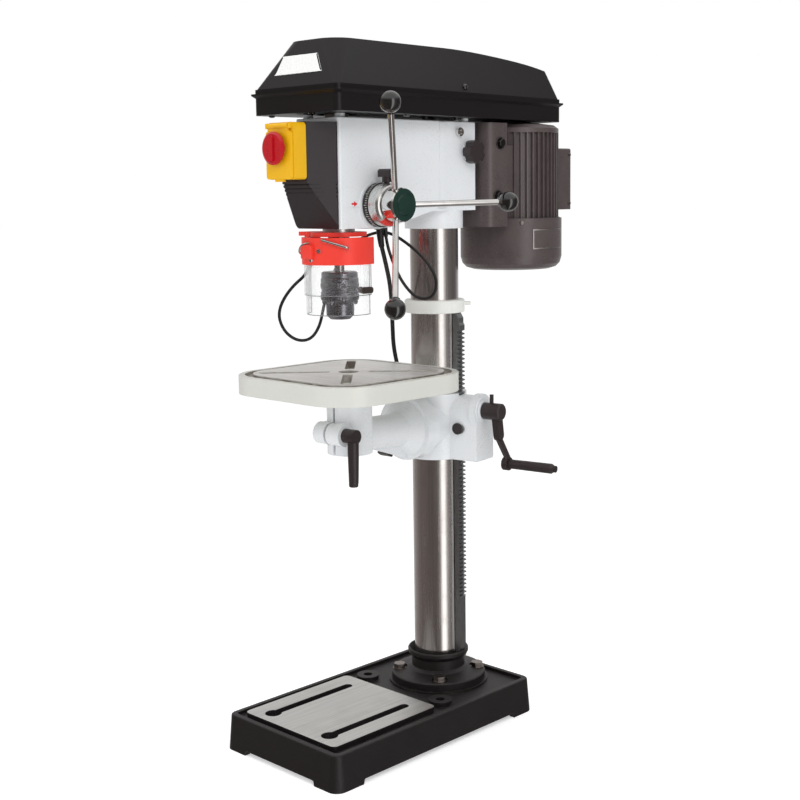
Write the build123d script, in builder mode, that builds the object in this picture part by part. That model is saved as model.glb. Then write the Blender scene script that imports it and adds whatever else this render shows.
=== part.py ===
from build123d import *
import os
from math import atan2, cos, degrees, hypot, pi, radians, sin, tan

# Pillar drill press, standing on its base. Millimetres, +Z up. The origin is midway between the
# two bench bolt holes, on the bench. The operator stands at -Y, and the feed handles are at +X.

# --- Main places -----------------------------------------------------------------------------
column_y = 78.0  # column axis, behind the bench bolts
throat = 192.5  # column axis to spindle axis
spindle_y = column_y - throat
motor_y = column_y + 178.0  # motor axis, behind the column
run_fit = 0.05  # radial clearance of a shaft that turns or slides in its bore
clear = 0.3  # gap between curved faces of separate bodies
seat = 0.1  # radial gap of a fixed shank in its hole

# --- Base --------------------------------------------------------------------------------------
base_width = 231.0
base_front = -243.5
base_back = 161.5
base_height = 51.5
base_flare = 4.2  # how far each side leans out at the bench
base_corner = 12.0
base_wall = 9.0
rim_width = 8.0
deck_top = 46.0
deck_thick = 7.0
plate_width = 190.0
plate_front = -229.0
plate_back = -28.0
plate_top = 54.7
slot_x = 60.0
slot_width = 14.0
slot_head = 24.0
slot_front = -205.0
slot_back = -59.0
bench_hole_x = 77.0
bench_hole = 14.0
bench_boss = 34.0
bench_boss_top = 53.0
foot_height = 7.0
rib_thick = 7.0

# --- Column, its flange and the rack ----------------------------------------------------------
column_d = 72.0
column_wall = 4.0
column_top = 838.0
flange_d = 144.0
flange_seat = 49.0
flange_thick = 12.0
socket_d = 82.0
socket_top = 97.0
lip_d = 93.0
lip_height = 13.0
flange_bolt_pcd = 120.0
flange_bolt_d = 10.0
flange_bolt_head = 7.0
ring_d = 90.0
ring_bottom = 617.0
ring_height = 19.0
rack_inner = 36.4  # rack's flat back to the column axis
rack_width = 14.0
rack_root = 44.0
rack_module = 2.0
rack_foot = 88.0
rack_head = ring_bottom + 7.0  # its end is caught under the ring
teeth_bottom = 188.0
teeth_count = 65

# --- Where the table arm stands -----------------------------------------------------------------
arm_swing = 4.3  # degrees round the column, towards +X
drive_swing = 10.0  # the rack and the crank stand a little further round
bracket_bottom = 399.0
bracket_top = 497.0
sleeve_d = 94.0
gear_teeth = 14
gear_z = 447.0
gear_width = 16.0
box_right = 87.0
tilt_z = 450.0
tilt_disc_d = 96.0
tilt_face = 62.0  # column axis to the face where the arm tilts
tilt_disc_thick = 12.0
tilt_bolt_d = 16.0
worm_z = 474.0
crank_radius = 80.0
crank_lean = 10.0  # degrees behind straight down
crank_hub_in = 90.0
crank_hub_out = 120.0
grip_length = 74.0
grip_d = 14.0

# --- Table ----------------------------------------------------------------------------------------
table_size = 254.0
table_corner = 62.0
table_top = 547.0
table_side = 26.0
table_plate = 12.0
table_rim = 9.0
groove_width = 11.0
groove_depth = 4.0
rim_drop = 1.0  # the rim stands this much below the worktop
table_hole = 29.0
table_slot = 14.0
table_slot_in = 33.0
table_slot_out = 119.0
stem_d = 42.0
clamp_d = 64.0
clamp_bottom = 432.0
clamp_top = 515.0
clamp_gap = 4.0
ear_d = 31.0
ear_z = 464.0
ear_reach = 37.0

# --- Head ------------------------------------------------------------------------------------------
head_half = 46.0
head_front = column_y - 230.0
head_back = column_y + 46.0
head_bottom = 747.0
head_rear_bottom = 768.0
head_top = 897.0
collar_d = 87.0
collar_bottom = 742.0
cover_front = column_y - 272.0
cover_half = 25.0
cover_top = 890.0
cover_break = 811.0
cover_wall = 3.0
groove_rows = 4
groove_step = 5.3
groove_cut = 1.2  # depth of the grooves round the cover

# --- Belt guard ---------------------------------------------------------------------------------
guard_front = column_y - 269.0
guard_back = column_y + 240.0
guard_front_half = 86.0
guard_back_half = 52.0
tray_bottom = 902.0
tray_rim = 929.0
guard_wall = 3.0
rim_bead = 4.5
lid_top_front = 1000.0
lid_top_back = 979.0
lid_lean = 34.0  # how far the lid's front corners lean in
lid_skirt = 6.0  # upright band above the rim
lid_step = 2.0  # ledge between that band and the sloping sides
lid_corner = 30.0  # corner radius at the lid's top, 7 at its foot

# --- Feed, quill, spindle and chuck -------------------------------------------------------------
feed_y = spindle_y + 31.75
feed_z = 778.5
pinion_teeth = 15
pinion_module = 1.5
quill_d = 45.0
quill_top = 858.0
quill_bottom = 736.0
quill_travel = 65.0
holder_d = 78.0
holder_height = 9.0
spindle_d = 22.0
neck_d = 14.0
chuck_top = 687.0
chuck_d = 53.0
chuck_bottom = 645.0
nose_d = 38.6
nose_bottom = 620.7
jaw_d = 8.0
jaw_tilt = 18.0
drill_r = 5.0  # the jaws stand open round a 10 mm drill
feed_bearing_d = 26.4
feed_shaft_d = 20.0
ring_x = 46.9
drum_x = 56.3
hub_x = 75.5
hub_end = 99.0
spoke_apex = 81.0
ball_x = 152.0
ball_r = 153.0
ball_d = 28.5
spoke_d = 8.5
spoke_angles = (120.8, 0.8, -119.2)  # from +Y towards +Z

# --- Drive -----------------------------------------------------------------------------------------
groove_first = 915.0
groove_pitch = 14.0
spindle_steps = (128.0, 110.0, 92.0, 74.0)
idler_steps = (51.0, 62.0, 73.0, 84.0)
motor_steps = (96.0, 80.0, 64.0, 48.0)
rear_step = 1
front_step = 2
idler_y = column_y + 8.0
idler_pivot = (30.0, column_y - 47.0)
idler_shaft_d = 12.0
motor_shaft_d = 14.0
rod_x = 26.0
rod_z = 866.0
rod_d = 16.0
bracket_face = column_y + 60.0
bracket_half = 55.0
bracket_flange = column_y + 105.0
motor_d = 144.0
fin_d = 150.0
motor_bottom = 754.0
motor_top = 901.0
cowl_d = 160.0
cowl_bottom = 674.0
belt_width = 10.0
belt_height = 6.0
wedge = 17.0  # half the angle of a belt groove

# --- Chuck guard -----------------------------------------------------------------------------------
band_r = 52.0
band_bottom = 698.0
band_top = 735.0
pivot_x = -52.0
pivot_y = spindle_y - 4.0
pivot_d = 5.0
shield_wall = 2.2
inner_shield_bottom = 655.0
outer_shield_top = 706.0
outer_shield_bottom = 628.0
shield_slide = 32.0

# --- Switch ----------------------------------------------------------------------------------------
switch_half = 26.0
switch_bottom = 814.0
switch_top = 889.0
switch_face = cover_front - 22.0
mushroom_d = 44.0
mushroom_z = 855.0

os.makedirs("parts", exist_ok=True)

# --- Frames --------------------------------------------------------------------------------------


def turned_frame(angle):
    along = (cos(radians(angle)), sin(radians(angle)), 0)
    return Plane(origin=(0, column_y, 0), x_dir=along, z_dir=(0, 0, 1))


arm = turned_frame(arm_swing)
drive = turned_frame(drive_swing)
machine = Plane.XY


# Planes set in a frame: seen from the front, from the right and from above.
def front_of(frame, y, x=0, z=0):
    return Plane(frame.from_local_coords((x, y, z)), x_dir=frame.x_dir, z_dir=-frame.y_dir)


def side_of(frame, x, y=0, z=0):
    return Plane(frame.from_local_coords((x, y, z)), x_dir=frame.y_dir, z_dir=frame.x_dir)


def above(frame, z, x=0, y=0):
    return Plane(frame.from_local_coords((x, y, z)), x_dir=frame.x_dir, z_dir=(0, 0, 1))


def upright(frame, x=0, y=0):
    return Axis(frame.from_local_coords((x, y, 0)), (0, 0, 1))


def across(frame, y, z):
    return Axis(frame.from_local_coords((0, y, z)), frame.x_dir)


def along(frame, x, z):
    return Axis(frame.from_local_coords((x, 0, z)), frame.y_dir)


# --- Outlines ------------------------------------------------------------------------------------
def outline(plane, *points):
    with BuildSketch(plane) as sketch:
        with BuildLine():
            Polyline(*points, close=True)
        make_face()
    return sketch.sketch


def rounded(plane, radius, *points):
    with BuildSketch(plane) as sketch:
        with BuildLine():
            FilletPolyline(*points, radius=radius, close=True)
        make_face()
    return sketch.sketch


def round_box(plane, width, height, radius, x=0, y=0):
    with BuildSketch(plane) as sketch:
        with Locations((x, y)):
            RectangleRounded(width, height, radius)
    return sketch.sketch


def box(plane, x_low, x_high, y_low, y_high):
    return outline(plane, (x_low, y_low), (x_high, y_low), (x_high, y_high), (x_low, y_high))


def disc(plane, diameter, *places):
    with BuildSketch(plane) as sketch:
        with Locations(*(places or ((0, 0),))):
            Circle(diameter / 2)
    return sketch.sketch


def ring(plane, outer, inner, *places):
    with BuildSketch(plane) as sketch:
        with Locations(*(places or ((0, 0),))):
            Circle(outer / 2)
            Circle(inner / 2, mode=Mode.SUBTRACT)
    return sketch.sketch


def hexagon(plane, flats, *places):
    with BuildSketch(plane) as sketch:
        with Locations(*(places or ((0, 0),))):
            RegularPolygon(flats / 2, 6, major_radius=False)
    return sketch.sketch


def slot(plane, start, end, width):
    with BuildSketch(plane) as sketch:
        with Locations(((start[0] + end[0]) / 2, (start[1] + end[1]) / 2)):
            run = (end[0] - start[0], end[1] - start[1])
            SlotCenterToCenter(hypot(*run), width, rotation=degrees(atan2(run[1], run[0])))
    return sketch.sketch


def lathe(frame, x, y, *points):
    return outline(
        Plane(frame.from_local_coords((x, y, 0)), x_dir=frame.x_dir, z_dir=-frame.y_dir),
        *points,
    )


def lathe_x(frame, y, z, *points):
    return outline(front_of(frame, y, 0, z), *points)


def lathe_y(frame, x, z, *points):
    return outline(side_of(frame, x, 0, z), *points)


# A spur gear's outline: involute flanks with a little play, first tooth gap towards start.
def gear_outline(plane, teeth, module, play, start, bore):
    pitch_r = teeth * module / 2
    base_r = pitch_r * cos(radians(20))
    root_r = pitch_r - 1.25 * module
    tip_r = pitch_r + module
    half = pi / (2 * teeth) - play / (2 * pitch_r)
    flat = tan(radians(20)) - radians(20)
    flank = [(root_r, half + flat)]
    for step in range(5):
        radius = base_r + (tip_r - base_r) * step / 4
        reach = (radius**2 / base_r**2 - 1) ** 0.5
        flank.append((radius, half + flat - (reach - atan2(reach, 1))))
    points = []
    for tooth in range(teeth):
        middle = radians(start) + (tooth + 0.5) * 2 * pi / teeth
        points += [(r * cos(middle - a), r * sin(middle - a)) for r, a in flank]
        points += [(r * cos(middle + a), r * sin(middle + a)) for r, a in reversed(flank)]
    with BuildSketch(plane) as sketch:
        with BuildLine():
            Polyline(*points, close=True)
        make_face()
        if bore:
            Circle(bore / 2, mode=Mode.SUBTRACT)
    return sketch.sketch


# The spaces between a rack's teeth, one every pitch, from the root out past the tips.
def rack_gaps(plane, module, play, count, root, tip, middle):
    pitch = pi * module
    line = root + 1.25 * module
    depth = tip + module - line
    with BuildSketch(plane) as sketch:
        for gap in range(count):
            z = middle + (gap - (count - 1) / 2) * pitch
            low = pitch / 4 + play / 2 - (line - root) * tan(radians(20))
            high = pitch / 4 + play / 2 + depth * tan(radians(20))
            with BuildLine():
                Polyline(
                    (root, z - low),
                    (line + depth, z - high),
                    (line + depth, z + high),
                    (root, z + low),
                    close=True,
                )
            make_face()
    return sketch.sketch


# --- Base -----------------------------------------------------------------------------------------
base_length = base_back - base_front
base_middle = (base_back + base_front) / 2
flange_bolts_at = [
    (flange_bolt_pcd / 2 * cos(radians(a)), column_y + flange_bolt_pcd / 2 * sin(radians(a)))
    for a in (45, 135, 225, 315)
]


def base_plan(z, grow):
    return round_box(
        Plane.XY.offset(z), base_width + 2 * grow, base_length + 2 * grow, base_corner + grow, 0, base_middle
    )


with BuildPart() as base:
    loft([base_plan(0, base_flare), base_plan(base_height, 0)])
    edges_top = base.faces().sort_by(Axis.Z)[-1].edges()
    fillet(edges_top, 2.5)
    loft(
        [base_plan(0, base_flare - base_wall), base_plan(deck_top - deck_thick, -base_wall)],
        mode=Mode.SUBTRACT,
    )
    extrude(
        round_box(
            Plane.XY.offset(deck_top),
            base_width - 2 * rim_width,
            base_length - 2 * rim_width,
            6,
            0,
            base_middle,
        ),
        amount=base_height,
        mode=Mode.SUBTRACT,
    )
    # The machined plate in front and the pad under the column flange.
    extrude(
        round_box(
            Plane.XY.offset(deck_top - deck_thick),
            plate_width,
            plate_back - plate_front,
            8,
            0,
            (plate_front + plate_back) / 2,
        ),
        amount=plate_top - deck_top + deck_thick,
    )
    extrude(
        disc(Plane.XY.offset(deck_top - deck_thick), flange_d + 8, (0, column_y)),
        amount=flange_seat - deck_top + deck_thick,
    )
    # Ribs under the deck.
    for x in (-32, 32):
        extrude(
            box(Plane.XY.offset(8), x - rib_thick / 2, x + rib_thick / 2, base_front + 5, base_back - 5),
            amount=deck_top - 12,
        )
    for y in (plate_front + 6, plate_back + 10):
        extrude(
            box(
                Plane.XY.offset(8),
                6 - base_width / 2,
                base_width / 2 - 6,
                y - rib_thick / 2,
                y + rib_thick / 2,
            ),
            amount=deck_top - 12,
        )
    # Slots for clamp bolts and holes for the flange bolts.
    for x in (-slot_x, slot_x):
        extrude(
            slot(Plane.XY.offset(-1), (x, slot_front), (x, slot_back), slot_width),
            amount=plate_top + 2,
            mode=Mode.SUBTRACT,
        )
        extrude(
            disc(Plane.XY.offset(-1), slot_head, (x, slot_front)),
            amount=plate_top + 2,
            mode=Mode.SUBTRACT,
        )
    extrude(disc(Plane.XY.offset(8), flange_bolt_d, *flange_bolts_at), amount=deck_top, mode=Mode.SUBTRACT)
    # The edge rests on four feet: a shallow arch in each side.
    for y in (base_front + base_wall + 6, base_back + 6):
        extrude(
            rounded(front_of(machine, y), 3, (-75, -4), (-72, foot_height), (72, foot_height), (75, -4)),
            amount=base_wall + 12,
            mode=Mode.SUBTRACT,
        )
    low_y = base_front + 45
    high_y = base_back - 42
    extrude(
        rounded(
            Plane.YZ.offset(-base_width / 2 - 10),
            3,
            (low_y, -4),
            (low_y + 3, foot_height),
            (high_y - 3, foot_height),
            (high_y, -4),
        ),
        amount=base_width + 20,
        mode=Mode.SUBTRACT,
    )
    # The bench bolt bosses stand on the bench.
    holes_at = ((-bench_hole_x, 0), (bench_hole_x, 0))
    extrude(disc(Plane.XY, bench_boss, *holes_at), amount=bench_boss_top)
    extrude(disc(Plane.XY.offset(-1), bench_hole, *holes_at), amount=bench_boss_top + 2, mode=Mode.SUBTRACT)
base.part.label = "base"
export_step(base.part, "parts/base.step")

# --- Column flange, its bolts, the column and the rack collar ------------------------------------
column_r = column_d / 2
socket_bore = column_r + 0.05
lip_r = lip_d / 2
flange_top = flange_seat + flange_thick
bevel_foot = socket_top - lip_height
with BuildPart() as column_flange:
    revolve(
        lathe(
            machine,
            0,
            column_y,
            (socket_bore, flange_seat),
            (flange_d / 2, flange_seat),
            (flange_d / 2, flange_top - 1.5),
            (flange_d / 2 - 1.5, flange_top),
            (lip_r, flange_top + 5),
            (socket_d / 2, flange_top + 9),
            (socket_d / 2, bevel_foot),
            (lip_r - 1, bevel_foot + 5),
            (lip_r, bevel_foot + 7),
            (lip_r, socket_top - 1.5),
            (lip_r - 1, socket_top),
            (lip_r - 2.5, socket_top),
            (socket_bore, bevel_foot),
        ),
        axis=upright(machine, 0, column_y),
    )
    # Flats for the washers, and the bolt holes.
    extrude(disc(Plane.XY.offset(flange_top), 24, *flange_bolts_at), amount=8, mode=Mode.SUBTRACT)
    extrude(
        disc(Plane.XY.offset(flange_seat), flange_bolt_d + 0.4, *flange_bolts_at),
        amount=20,
        mode=Mode.SUBTRACT,
    )
column_flange.part.label = "column_flange"
export_step(column_flange.part, "parts/column_flange.step")

with BuildPart() as flange_bolts:
    for at in flange_bolts_at:
        extrude(disc(Plane.XY.offset(flange_top), 20, at), amount=2)
        extrude(hexagon(Plane.XY.offset(flange_top + 2), 16, at), amount=flange_bolt_head)
        extrude(
            disc(Plane.XY.offset(deck_top - deck_thick - 9), flange_bolt_d - 2 * seat, at),
            amount=flange_top - 28,
        )
flange_bolts.part.label = "flange_bolts"
export_step(flange_bolts.part, "parts/flange_bolts.step")

with BuildPart() as column:
    extrude(
        ring(Plane.XY.offset(flange_seat), column_d, column_d - 2 * column_wall, (0, column_y)),
        amount=column_top - flange_seat,
    )
column.part.label = "column"
export_step(column.part, "parts/column.step")

ring_r = ring_d / 2
ring_screw_z = ring_bottom + ring_height - 6.5
with BuildPart() as rack_collar:
    revolve(
        lathe(
            machine,
            0,
            column_y,
            (ring_r - 1.0, ring_bottom),
            (ring_r, ring_bottom + 1),
            (ring_r, ring_bottom + ring_height - 1.5),
            (ring_r - 1.5, ring_bottom + ring_height),
            (socket_bore, ring_bottom + ring_height),
            (socket_bore, ring_bottom + 13),
        ),
        axis=upright(machine, 0, column_y),
    )
    screw_plane = side_of(turned_frame(40), column_r + 1, 0, ring_screw_z)
    extrude(disc(screw_plane, 6), amount=ring_r + 9 - column_r - 1)
rack_collar.part.label = "rack_collar"
export_step(rack_collar.part, "parts/rack_collar.step")

# --- Rack ------------------------------------------------------------------------------------------
rack_pitch = pi * rack_module
rack_tip = rack_root + 2.25 * rack_module
rack_plain = rack_root + 2.5
bevel_run = (rack_plain - rack_inner - 1.2) * lip_height / (lip_r - 2.5 - socket_bore)
gear_x = rack_root + 1.25 * rack_module + gear_teeth * rack_module / 2
teeth_top = teeth_bottom + teeth_count * rack_pitch
gaps_low = round((gear_z - teeth_bottom) / rack_pitch - 0.5)
gaps_middle = gear_z - gaps_low * rack_pitch + (teeth_count - 1) * rack_pitch / 2 - 0.5 * rack_pitch
with BuildPart() as rack:
    extrude(
        outline(
            front_of(drive, rack_width / 2),
            (rack_inner, rack_foot),
            (rack_inner + 1.2, rack_foot),
            (rack_plain, rack_foot + bevel_run),
            (rack_plain, teeth_bottom - 6),
            (rack_tip, teeth_bottom - 2),
            (rack_tip, teeth_top + 2),
            (rack_plain, teeth_top + 6),
            (rack_plain, rack_head - bevel_run),
            (rack_inner + 1.2, rack_head),
            (rack_inner, rack_head),
        ),
        amount=rack_width,
    )
    extrude(
        rack_gaps(
            front_of(drive, rack_width / 2 + 1),
            rack_module,
            0.2,
            teeth_count,
            rack_root,
            rack_tip,
            gaps_middle,
        ),
        amount=rack_width + 2,
        mode=Mode.SUBTRACT,
    )
rack.part.label = "rack"
export_step(rack.part, "parts/rack.step")

# --- Table bracket with its gearbox ---------------------------------------------------------------
slide_r = column_r + run_fit
box_mid = (bracket_bottom + bracket_top) / 2
boss_face = crank_hub_in - clear
disc_back = -(tilt_face - tilt_disc_thick)
lock_y = -27.0
lock_z = bracket_bottom + 18
lock_face = 56.0
spigot_d = 30.0
pin_d = 12.0
worm_d = 20.0
worm_start = rack_tip + 2
worm_y = -5.0
with BuildPart() as table_bracket:
    extrude(disc(above(arm, bracket_bottom), sleeve_d), amount=bracket_top - bracket_bottom)
    # Gearbox: square below, rounded over the worm.
    extrude(
        rounded(
            side_of(drive, 0),
            3,
            (-24, bracket_bottom),
            (24, bracket_bottom),
            (24, worm_z),
            (-24, worm_z),
        ),
        amount=box_right,
    )
    extrude(disc(side_of(drive, 0, 0, worm_z - 3), 48), amount=box_right - 4)
    for size, reach in ((50, boss_face - 3), (38, boss_face - 1.5), (28, boss_face)):
        extrude(disc(side_of(drive, box_right - 10, worm_y, worm_z), size), amount=reach - box_right + 10)
    # The disc that the arm tilts on, and its web.
    loft(
        [
            disc(front_of(arm, -18, 0, tilt_z), sleeve_d - 6),
            disc(front_of(arm, disc_back, 0, tilt_z), tilt_disc_d - 16),
        ]
    )
    extrude(disc(front_of(arm, disc_back, 0, tilt_z), tilt_disc_d), amount=tilt_disc_thick)
    extrude(disc(front_of(arm, -tilt_face, 0, tilt_z), spigot_d), amount=tilt_disc_thick)
    # Boss for the column lock.
    extrude(disc(side_of(arm, -lock_face, lock_y, lock_z), 26), amount=lock_face - 20)
    # Bores: the column, the rack's channel, the gear's pocket and pin, the worm, the lock's screw.
    extrude(disc(above(arm, bracket_bottom - 90), 2 * slide_r), amount=300, mode=Mode.SUBTRACT)
    extrude(
        box(
            above(drive, bracket_bottom - 90),
            20,
            rack_tip + 1,
            -rack_width / 2 - run_fit * 4,
            rack_width / 2 + run_fit * 4,
        ),
        amount=300,
        mode=Mode.SUBTRACT,
    )
    pocket = gear_teeth * rack_module + 2 * rack_module + 1.5
    extrude(
        disc(front_of(drive, gear_width / 2 + 0.3, gear_x, gear_z), pocket),
        amount=gear_width + 0.6,
        mode=Mode.SUBTRACT,
    )
    extrude(disc(front_of(drive, 40, gear_x, gear_z), pin_d + 2 * run_fit), amount=80, mode=Mode.SUBTRACT)
    extrude(disc(side_of(drive, 46, worm_y, worm_z), worm_d + 1), amount=28, mode=Mode.SUBTRACT)
    extrude(disc(side_of(drive, 60, worm_y, worm_z), 16 + 2 * run_fit), amount=60, mode=Mode.SUBTRACT)
    extrude(
        disc(side_of(arm, -lock_face - 1, lock_y, lock_z), 12 + 2 * run_fit),
        amount=lock_face - 25,
        mode=Mode.SUBTRACT,
    )
    extrude(disc(front_of(arm, -40, 0, tilt_z), tilt_bolt_d + 1), amount=60, mode=Mode.SUBTRACT)
table_bracket.part.label = "table_bracket"
export_step(table_bracket.part, "parts/table_bracket.step")

with BuildPart() as table_gear:
    extrude(
        gear_outline(front_of(drive, gear_width / 2, gear_x, gear_z), gear_teeth, rack_module, 0.2, 180, 0),
        amount=gear_width,
    )
    extrude(disc(front_of(drive, 24, gear_x, gear_z), pin_d), amount=48)
    extrude(disc(front_of(drive, -24 - clear, gear_x, gear_z), pin_d + 1), amount=2)
    extrude(disc(front_of(drive, -24, gear_x, gear_z), pin_d), amount=clear)
table_gear.part.label = "table_gear"
export_step(table_gear.part, "parts/table_gear.step")

# --- Crank -----------------------------------------------------------------------------------------
crank_plane = side_of(drive, crank_hub_in, worm_y, worm_z)
crank_foot = (crank_radius * sin(radians(crank_lean)), -crank_radius * cos(radians(crank_lean)))
grip_base = crank_hub_out + 4
with BuildPart() as crank_arm:
    extrude(disc(side_of(drive, worm_start, worm_y, worm_z), worm_d), amount=20)
    extrude(disc(side_of(drive, worm_start, worm_y, worm_z), 16), amount=crank_hub_in - worm_start + 1)
    extrude(disc(crank_plane, 25), amount=crank_hub_out - crank_hub_in)
    chamfer(crank_arm.faces().sort_by(Axis((0, 0, 0), drive.x_dir))[-1].edges(), 1.5)
    # The set screw on the hub.
    extrude(disc(above(drive, worm_z, crank_hub_in + 12, worm_y), 6), amount=25)
    # The arm sweeps outwards from the hub to the grip's boss.
    loft(
        [
            slot(
                side_of(drive, crank_hub_out - 14, worm_y, worm_z),
                (0, 0),
                (crank_foot[0] * 0.45, crank_foot[1] * 0.45),
                17,
            ),
            slot(
                side_of(drive, crank_hub_out - 5, worm_y, worm_z),
                (0, 0),
                (crank_foot[0] * 0.45, crank_foot[1] * 0.45),
                15,
            ),
        ]
    )
    loft(
        [
            disc(
                side_of(
                    drive,
                    crank_hub_out - 14,
                    worm_y + crank_foot[0] * 0.4,
                    worm_z + crank_foot[1] * 0.4,
                ),
                16,
            ),
            disc(
                side_of(drive, grip_base, worm_y + crank_foot[0] * 0.96, worm_z + crank_foot[1] * 0.96),
                14,
            ),
        ]
    )
    extrude(
        disc(side_of(drive, grip_base - 9, worm_y + crank_foot[0], worm_z + crank_foot[1]), 20),
        amount=9,
    )
    extrude(
        disc(side_of(drive, grip_base, worm_y + crank_foot[0], worm_z + crank_foot[1]), 7),
        amount=grip_length + 4,
    )
    extrude(
        disc(
            side_of(
                drive,
                grip_base + grip_length + 2 * clear,
                worm_y + crank_foot[0],
                worm_z + crank_foot[1],
            ),
            10,
        ),
        amount=3,
    )
crank_arm.part.label = "crank_arm"
export_step(crank_arm.part, "parts/crank_arm.step")

with BuildPart() as crank_grip:
    grip_end = grip_length + clear
    revolve(
        lathe_x(
            drive,
            worm_y + crank_foot[0],
            worm_z + crank_foot[1],
            (grip_base + clear, 3.5 + run_fit),
            (grip_base + clear, grip_d / 2 - 0.5),
            (grip_base + 4, grip_d / 2),
            (grip_base + grip_end - 4, grip_d / 2 + 0.4),
            (grip_base + grip_end, grip_d / 2 - 2),
            (grip_base + grip_end, 3.5 + run_fit),
        ),
        axis=Axis(
            drive.from_local_coords((0, worm_y + crank_foot[0], worm_z + crank_foot[1])),
            drive.x_dir,
        ),
    )
crank_grip.part.label = "crank_grip"
export_step(crank_grip.part, "parts/crank_grip.step")

# --- Column lock knob ------------------------------------------------------------------------------
with BuildPart() as column_lock_knob:
    extrude(disc(side_of(arm, -lock_face - 24, lock_y, lock_z), 50), amount=20)
    extrude(disc(side_of(arm, -lock_face - 4, lock_y, lock_z), 30), amount=4 - clear)
    lobes = [(25.5 * cos(radians(a)), 25.5 * sin(radians(a))) for a in range(30, 390, 60)]
    extrude(disc(side_of(arm, -lock_face - 25, lock_y, lock_z), 12, *lobes), amount=22, mode=Mode.SUBTRACT)
    extrude(disc(side_of(arm, -lock_face - 5, lock_y, lock_z), 12), amount=30)
column_lock_knob.part.label = "column_lock_knob"
export_step(column_lock_knob.part, "parts/column_lock_knob.step")

# --- Table arm -------------------------------------------------------------------------------------
arm_face = -(tilt_face + seat)
clamp_r = clamp_d / 2
ear_y = -(throat + ear_reach)
ear_right = 26.0
ear_left = 22.0
with BuildPart() as table_arm:
    extrude(disc(front_of(arm, arm_face, 0, tilt_z), tilt_disc_d), amount=13)
    loft(
        [
            disc(front_of(arm, arm_face - 13, 0, tilt_z), tilt_disc_d - 14),
            disc(front_of(arm, arm_face - 30, 0, tilt_z), 50),
        ]
    )
    loft(
        [
            disc(front_of(arm, arm_face - 30, 0, tilt_z), 50),
            disc(front_of(arm, -throat, 0, tilt_z + 6), 44),
        ]
    )
    # The keel under the arm.
    extrude(
        outline(
            side_of(arm, -5),
            (arm_face - 13, tilt_z),
            (arm_face - 13, tilt_z - 44),
            (-throat + clamp_r, clamp_bottom + 2),
            (-throat + clamp_r, tilt_z),
        ),
        amount=10,
    )
    extrude(disc(above(arm, clamp_bottom, 0, -throat), clamp_d), amount=clamp_top - clamp_bottom)
    # Ears for the clamp bolt, in front of the tube.
    extrude(disc(side_of(arm, -ear_left, ear_y, ear_z), ear_d), amount=ear_left + ear_right)
    extrude(
        box(
            side_of(arm, -ear_left + 4),
            ear_y,
            -throat - clamp_r + 8,
            ear_z - ear_d / 2,
            ear_z + ear_d / 2,
        ),
        amount=ear_left + ear_right - 8,
    )
    # Bores: stem, split, clamp bolt, spigot, tilt bolt pocket.
    extrude(
        disc(above(arm, clamp_bottom - 1, 0, -throat), stem_d + 2 * run_fit),
        amount=120,
        mode=Mode.SUBTRACT,
    )
    extrude(
        box(above(arm, clamp_bottom - 1), -clamp_gap / 2, clamp_gap / 2, ear_y - ear_d, -throat),
        amount=clamp_top - clamp_bottom + 2,
        mode=Mode.SUBTRACT,
    )
    extrude(
        disc(side_of(arm, -ear_left + 8, ear_y, ear_z), 10 + 2 * run_fit),
        amount=80,
        mode=Mode.SUBTRACT,
    )
    extrude(
        disc(front_of(arm, arm_face + 1, 0, tilt_z), spigot_d + 2 * run_fit),
        amount=tilt_disc_thick + 3,
        mode=Mode.SUBTRACT,
    )
table_arm.part.label = "table_arm"
export_step(table_arm.part, "parts/table_arm.step")

# --- Table clamp lever -----------------------------------------------------------------------------
with BuildPart() as table_lever:
    extrude(disc(side_of(arm, -ear_left + 8.5, ear_y, ear_z), 10), amount=ear_left + ear_right - 8)
    extrude(disc(side_of(arm, ear_right + clear, ear_y, ear_z), 20), amount=20)
    lever_from = arm.from_local_coords((ear_right + 14, ear_y, ear_z))
    lever_to = arm.from_local_coords((ear_right + 14.5, ear_y - 1, ear_z - 66))
    lever_plane = Plane(lever_from, x_dir=arm.y_dir, z_dir=lever_to - lever_from)
    extrude(disc(lever_plane.offset(3), 10), amount=52)
    extrude(disc(lever_plane.offset(50), 13), amount=20)
    fillet(table_lever.edges().sort_by(Axis.Z)[:1], 2)
table_lever.part.label = "table_lever"
export_step(table_lever.part, "parts/table_lever.step")

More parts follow.
